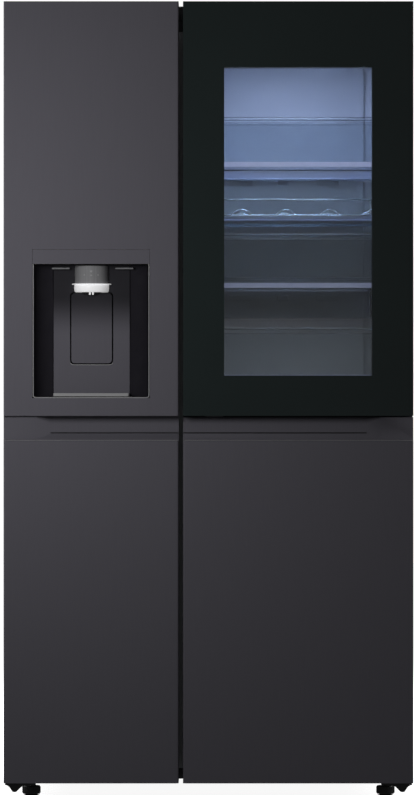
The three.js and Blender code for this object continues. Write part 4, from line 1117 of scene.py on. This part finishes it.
class FRIDGE_OT_baskets(BuildStep):
    """Clear door baskets with rolled rims"""

    bl_idname = "fridge.baskets"
    bl_label = "Door baskets"

    def build(self, scene):
        baskets = [(f"door_basket_{word}", "fridge_door") for word in ("upper", "middle", "lower")]
        baskets += [(f"freezer_door_basket_{word}", "freezer_door") for word in ("upper", "lower")]
        for node, body in baskets:
            tub = softened(node, 0.9 * MM)
            piece(node + "_tub", tub, body, "clear_plastic", clear_plastic(), replaces=[node])
            self.rim(node, body, *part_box(node))
        self.hanging_basket("door_basket_bottom", 148 * MM, 258 * MM)
        self.hanging_basket("door_basket_tall", 430 * MM, 548 * MM)

    def rim(self, name, body, lo, hi):
        """Beads round the tub at a few heights, and a pale band along its foot that glows with painted
        light.
        """
        heights = [(1.6, 1.5), (12.5, 0.8)]
        if name == "door_basket_middle":
            heights += [(99.5, 1.2), (104.0, 0.7)]
        left, right, front = lo.x + 1.4 * MM, hi.x - 1.4 * MM, hi.y - 1.2 * MM
        back, wall = lo.y + 4 * MM, lo.y + 1.2 * MM
        beads = []
        for below_top, radius in heights:
            z = hi.z - below_top * MM
            path = rounded_path(
                [(left, back, z), (left, front, z), (right, front, z), (right, back, z)], 12 * MM,
            )
            beads.append(wire(path, radius * MM))
            across = [(lo.x + 4 * MM, wall, z), (hi.x - 4 * MM, wall, z)]
            beads.append(wire(across, radius * MM))
        foot = plate(
            lo + metres(6, -0.4, 1.2), (hi.x - 6 * MM, lo.y + 2.2 * MM, lo.z + 12.5 * MM),
            Y, 4 * MM, 0.6 * MM, 4,
        )
        # Painted glow on the foot band, stronger on the upper basket than on the others.
        if name == "door_basket_upper":
            band = painted_glow_plastic("Band plastic with strong painted glow", 0.36)
        else:
            band = painted_glow_plastic("Band plastic with faint painted glow", 0.14)
        whole = join(*beads, painted(foot, 1))
        piece(name + "_rim", whole, body, "clear_plastic", frosted_rim(), band)

    def hanging_basket(self, name, floor_z, top_z):
        """A basket low on the fridge door, an open tub with a rounded floor."""
        above_lo, above_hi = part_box("door_basket_lower")
        lo = Vector((above_lo.x, -263.8 * MM, floor_z))
        hi = Vector((above_hi.x, -206 * MM, top_z))
        bm = block(lo, hi)
        bevel(bm, [e for e in bm.edges if runs_along(e, Z)], 10 * MM, 5)
        top = [f for f in bm.faces if f.normal.z > 0.99]
        bmesh.ops.delete(bm, geom=top, context="FACES_ONLY")
        floor = [e for e in sharp_edges(bm, 60) if max(v.co.z for v in e.verts) < floor_z + NEAR]
        bevel(bm, floor, 5 * MM, 3)
        tub = piece(name + "_tub", bm, "fridge_door", "clear_plastic", clear_plastic())
        thicken(tub, 2.4 * MM)
        self.rim(name, "fridge_door", lo, hi)


class FRIDGE_OT_bottle_rack(BuildStep):
    """Chromed wire rack that holds bottles on their sides"""

    bl_idname = "fridge.bottle_rack"
    bl_label = "Bottle rack"

    def build(self, scene):
        lo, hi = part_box("bottle_rack")
        radius = scene.fridge_inside.wire / 2
        front, back, bar = lo.y + radius, hi.y - radius, lo.z + 6.1 * MM
        pitch, first = 101.3 * MM, 77.1 * MM
        left, right = first - pitch, first + 3 * pitch
        wires = [wire(self.humped(y, bar, left, right, pitch), radius * 0.8) for y in (front, back)]
        y = front - radius
        wires.append(wire([(lo.x + radius, y, bar), (hi.x - radius, y, bar)], radius))
        raised = bar + 46 * MM
        wires.append(wire([(left, back, raised), (right, back, raised)], radius * 0.7))
        corner_z = bar + 44 * MM
        for x, out in ((left, -1), (right, 1)):
            end = rounded_path([
                (x - out * 26 * MM, front, bar + 4 * MM), (x - out * 4 * MM, front, bar + 10 * MM),
                (x, front, corner_z),
            ], 18 * MM)
            wires.append(wire(end, radius * 0.8))
            arm = rounded_path([(x, front, corner_z), (x, back, corner_z), (x, back, bar)], 12 * MM)
            wires.append(wire(arm, radius * 0.8))
        low = bar - radius * 0.4
        for i in range(4):
            for off in (-0.25, 0.25):
                x = first + pitch * (i + off) - pitch * 0.5
                wires.append(wire([(x, front, low), (x, back, low)], radius * 0.7))
        feet = [
            rod((x, y, lo.z + 0.2 * MM), (x, y, bar), radius * 1.3, edge=0.4 * MM)
            for x in (left + 30 * MM, right - 30 * MM) for y in (front, back)
        ]
        piece(
            "bottle_rack_wires", join(*wires, *feet), "cabinet", "chrome", chrome(),
            replaces=["bottle_rack"],
        )

    def humped(self, y, bar, left, right, pitch):
        """Points along a bar that rises in a low dome at every pitch."""
        steps, dome, half_width = 120, 13.5 * MM, 0.23
        points = []
        for i in range(steps + 1):
            x = left + (right - left) * i / steps
            share = (x - left) / pitch
            off = abs(share - round(share))
            rise = 0.0
            if off < half_width:
                rise = dome * max(0.0, cos(pi / 2 * off / half_width)) ** 0.8
            points.append(Vector((x, y, bar + rise)))
        return points


class FRIDGE_OT_drawers(BuildStep):
    """Clear drawers with a handle moulding"""

    bl_idname = "fridge.drawers"
    bl_label = "Drawers"

    def build(self, scene):
        for node in ("snack_drawer", "crisper_upper", "crisper_lower", "freezer_drawer_upper",
                     "freezer_drawer_lower"):
            piece(
                node + "_tub", softened(node, 1.0 * MM), node, "clear_plastic", clear_plastic(),
                replaces=[node],
            )
            lo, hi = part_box(node)
            depth = (4.2 if node == "snack_drawer" else 16) * MM
            grip = plate(
                (lo.x + 12 * MM, lo.y - 0.2 * MM, hi.z - depth),
                (hi.x - 12 * MM, lo.y + 5 * MM, hi.z - 2 * MM), Y, 0.9 * MM, 0.3 * MM, 4,
            )
            piece(node + "_grip", grip, node, "clear_plastic", frosted_rim())


class FRIDGE_OT_seals(BuildStep):
    """Magnetic seals with a folded bellows"""

    bl_idname = "fridge.seals"
    bl_label = "Door seals"

    def build(self, scene):
        for side in ("freezer", "fridge"):
            node = side + "_door_gasket"
            lo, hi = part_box(node)
            finish_node(seal_rubber(), node)
            inset = 0.2 * MM
            x, z = (lo.x + inset, hi.x - inset), (lo.z + inset, hi.z - inset)
            beads = [
                wire(loop_path(x, z, y, 4 * MM, 3), 0.9 * MM, closed=True)
                for y in (lo.y + 3 * MM, lo.y + 7 * MM)
            ]
            piece(side + "_seal_bellows", join(*beads), side + "_door", "seal_rubber", seal_rubber())


class FRIDGE_OT_feet(BuildStep):
    """Adjusting feet, rear rollers and hinge plates"""

    bl_idname = "fridge.feet"
    bl_label = "Feet and hinges"

    def build(self, scene):
        for side in ("left", "right"):
            self.foot(side)
            self.roller(side)
            for end in ("top", "bottom"):
                node = f"hinge_{end}_{side}"
                finish = black_plastic() if end == "top" else black_enamel()
                piece(
                    node + "_cover", softened(node, 1.0 * MM), "cabinet", "black_plastic",
                    finish, replaces=[node],
                )

    def foot(self, side):
        node = "leveller_" + side
        lo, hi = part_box(node)
        centre = Vector(((lo.x + hi.x) / 2, (lo.y + hi.y) / 2, lo.z))
        radius = (hi.x - lo.x) / 2
        wheel = turned(
            [(0, 7.2 * MM), (radius - 2.6 * MM, 7.2 * MM), (radius - 0.6 * MM, 9.5 * MM),
             (radius - 0.6 * MM, 23.5 * MM), (radius - 2.2 * MM, 25.8 * MM), (0, 25.8 * MM)],
            centre, BIG_Z, 60,
        )
        ribs, rib_count = [], 30
        for i in range(rib_count):
            angle = tau * i / rib_count
            at = centre + Vector((cos(angle), sin(angle), 0)) * (radius - 0.7 * MM)
            ribs.append(rod(at + metres(0, 0, 9.8), at + metres(0, 0, 23.2), 0.7 * MM, sides=6))
        pad = turned(
            [(0, 0), (16.6 * MM, 0), (18 * MM, 1.4 * MM), (18 * MM, 4.2 * MM), (12 * MM, 6.4 * MM),
             (8 * MM, 7.4 * MM), (0, 7.4 * MM)],
            centre, BIG_Z, 48,
        )
        stem = [(0, 25.6 * MM)]
        for turn_number in range(9):
            low = (26 + turn_number * 2.1) * MM
            stem += [(4.4 * MM, low), (5.0 * MM, low + 1.0 * MM), (4.4 * MM, low + 2.0 * MM)]
        stem.append((0, hi.z - lo.z))
        screw = turned(stem, centre, BIG_Z, 24)
        piece(
            node + "_foot", join(wheel, *ribs, pad, painted(screw, 1)), node, "black_plastic",
            black_plastic(), plated_steel(), replaces=[node],
        )

    def roller(self, side):
        node = "roller_" + side
        lo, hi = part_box(node)
        centre = Vector((lo.x, (lo.y + hi.y) / 2, (lo.z + hi.z) / 2))
        radius, width = (hi.z - lo.z) / 2, hi.x - lo.x
        bore, shoulder, inset = radius - 6 * MM, radius - 1.5 * MM, 3 * MM
        tyre = turned(
            [(bore, inset), (shoulder, inset), (radius, 5 * MM), (radius, width - 5 * MM),
             (shoulder, width - inset), (bore, width - inset)],
            centre, BIG_X, 40,
        )
        near = [(0, 0), (5 * MM, 0), (6 * MM, 3.4 * MM), (radius - 5 * MM, 4.4 * MM)]
        far = [(r, width - along) for r, along in reversed(near)]
        hub = turned(near + far, centre, BIG_X, 40)
        piece(
            node + "_wheel", join(tyre, painted(hub, 1)), node, "wheel_rubber", dark_rubber(),
            black_plastic(), replaces=[node],
        )


class FRIDGE_OT_machinery(BuildStep):
    """Compressor, coils and fan"""

    bl_idname = "fridge.machinery"
    bl_label = "Machinery"

    def build(self, scene):
        finish_node(black_enamel(), "condenser")
        finish_node(aluminium(), "evaporator")
        piece(
            "compressor_can", softened("compressor", 1.5 * MM), "cabinet", "compressor_paint",
            black_enamel(), replaces=["compressor"], smooth=50,
        )
        piece(
            "condenser_fan_blades", softened("condenser_fan", 0.5 * MM), "condenser_fan",
            "black_plastic", black_plastic(), replaces=["condenser_fan"],
        )


# ---------- floor, lights and camera ----------


def aim(thing, at, target):
    thing.location = at
    thing.rotation_euler = (Vector(target) - Vector(at)).to_track_quat("-Z", "Y").to_euler()


def area_lamp(name, at, target, size, power, colour=(1, 1, 1)):
    lamp = bpy.data.lights.new(name, "AREA")
    lamp.shape, lamp.size, lamp.size_y = "RECTANGLE", *size
    lamp.energy, lamp.color = power, colour
    holder = bpy.data.objects.new(name, lamp)
    bpy.context.scene.collection.objects.link(holder)
    holder.visible_camera = False
    aim(holder, at, target)
    return holder


class FRIDGE_OT_stage(BuildStep):
    """Pale floor, soft lights and the camera"""

    bl_idname = "fridge.stage"
    bl_label = "Stage"

    def build(self, scene):
        settings = scene.fridge_stage
        self.floor(settings.floor)
        self.surroundings(scene)
        front = CAD_BOX[0].y
        key_at = Vector((-0.668, front - 1.072, 1.263))
        key = area_lamp("Key softbox", key_at, key_at + BIG_Y, (0.45, 0.45), settings.key)
        key.visible_glossy = key.visible_transmission = False
        size, power = (1.8, 1.8), settings.fill
        for side in (-1, 1):
            area_lamp("Side softbox", (side * 3.2, 0.5, 1.9), (0, 0.5, 0.9), size, power)
            area_lamp("Rear softbox", (side * 1.8, 3.4, 2.2), (0, 0.3, 0.8), size, power)
        area_lamp("Top softbox", (0, 0.9, 4.2), (0, 0.6, 0), (2.0, 1.6), power)
        self.inside_lamps(settings.lamp)
        camera = bpy.data.objects.new("Camera", bpy.data.cameras.new("Camera"))
        scene.collection.objects.link(camera)
        camera.data.lens = settings.lens
        camera.data.sensor_width = 36
        camera.data.clip_end = 100
        centre_x = (CAD_BOX[0].x + CAD_BOX[1].x) / 2
        eye_x, eye_height = centre_x - 3.3 * MM, 904.6 * MM
        camera.location = (eye_x, front - settings.distance, eye_height)
        camera.rotation_euler = (pi / 2, 0, 0)
        scene.camera = camera
        scene.view_settings.view_transform = "Standard"

    def floor(self, colour):
        bm = bmesh.new()
        under = Matrix.Translation((0, 0, -0.5 * MM))
        bmesh.ops.create_circle(bm, cap_ends=True, radius=14, segments=96, matrix=under)
        mesh = bpy.data.meshes.new("floor")
        bm.to_mesh(mesh)
        bm.free()
        made = bpy.data.objects.new("floor", mesh)
        bpy.context.scene.collection.objects.link(made)
        pale = grained(
            "Pale floor", shade(colour, 0.98), colour, 0.7, (1, 1, 1), 2, 0.0, spread=0.05,
            Emission_Color=(1, 1, 1, 1), Emission_Strength=0.92,
        )
        made.visible_diffuse = made.visible_glossy = False
        mesh.materials.append(pale)

    def surroundings(self, scene):
        world = bpy.data.worlds.new("Pale studio")
        world.use_nodes = True
        nodes, link = world.node_tree.nodes, world.node_tree.links.new
        sky = nodes["Background"]
        sky.inputs["Color"].default_value = (1, 1, 1, 1)
        sight = nodes.new("ShaderNodeLightPath")
        level = nodes.new("ShaderNodeMapRange")
        level.inputs["To Min"].default_value = 0.10
        level.inputs["To Max"].default_value = 1.0
        link(sight.outputs["Is Camera Ray"], level.inputs["Value"])
        link(level.outputs["Result"], sky.inputs["Strength"])
        scene.world = world

    def inside_lamps(self, power):
        """The ceiling lamp, and what light it throws below the shelves."""
        lo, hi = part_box("fridge_lamp")
        x = (lo.x + hi.x) / 2
        cool, dim = (0.55, 0.65, 1.0), (1.0, 0.93, 0.90)
        lens_at = (x, -0.185, lo.z - 6 * MM)
        area_lamp("Ceiling lamp", lens_at, (x, -0.13, 0), (0.26, 0.05), power, cool)
        for word, height, share in (
            ("upper", 1.400, 0.026), ("middle", 1.295, 0.028),
            ("lower", 1.140, 0.044), ("floor", 1.060, 0.125),
        ):
            at, target, size = (x, -0.05, height), (x, 0.12, 0), (0.30, 0.10)
            glow = area_lamp(f"Glow {word}", at, target, size, power * share, dim)
            glow.visible_transmission = glow.visible_glossy = False


STEPS = (
    FRIDGE_OT_cabinet, FRIDGE_OT_liners, FRIDGE_OT_door_panels, FRIDGE_OT_window,
    FRIDGE_OT_dispenser, FRIDGE_OT_shelves, FRIDGE_OT_baskets, FRIDGE_OT_bottle_rack,
    FRIDGE_OT_drawers, FRIDGE_OT_seals, FRIDGE_OT_feet, FRIDGE_OT_machinery, FRIDGE_OT_stage,
)


class FRIDGE_PT_panel(Panel):
    """The refrigerator's settings and build steps"""

    bl_idname = "FRIDGE_PT_panel"
    bl_label = "Refrigerator"
    bl_space_type = "VIEW_3D"
    bl_region_type = "UI"
    bl_category = "Refrigerator"

    def draw(self, context):
        scene = context.scene
        for group in (scene.fridge_doors, scene.fridge_inside, scene.fridge_stage):
            box = self.layout.box()
            for name in group.__annotations__:
                box.prop(group, name)
        for step in STEPS:
            self.layout.operator(step.bl_idname)


SETTINGS = {
    "fridge_doors": FridgeDoorSettings,
    "fridge_inside": FridgeInsideSettings,
    "fridge_stage": FridgeStageSettings,
}


def register():
    for name, group in SETTINGS.items():
        bpy.utils.register_class(group)
        setattr(bpy.types.Scene, name, PointerProperty(type=group))
    for cls in (*STEPS, FRIDGE_PT_panel):
        bpy.utils.register_class(cls)


def unregister():
    for cls in reversed((*STEPS, FRIDGE_PT_panel)):
        bpy.utils.unregister_class(cls)
    for name, group in SETTINGS.items():
        delattr(bpy.types.Scene, name)
        bpy.utils.unregister_class(group)


def clear_scene():
    """Removes the cube, lamp and camera that a new file may hold."""
    for name in ("Cube", "Light", "Camera"):
        found = bpy.data.objects.get(name)
        if found and "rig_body" not in found:
            bpy.data.objects.remove(found)


def main():
    register()
    clear_scene()
    for step in STEPS:
        group, operator = step.bl_idname.split(".")
        getattr(getattr(bpy.ops, group), operator)()
    bpy.context.view_layer.update()


if __name__ == "__main__":
    main()
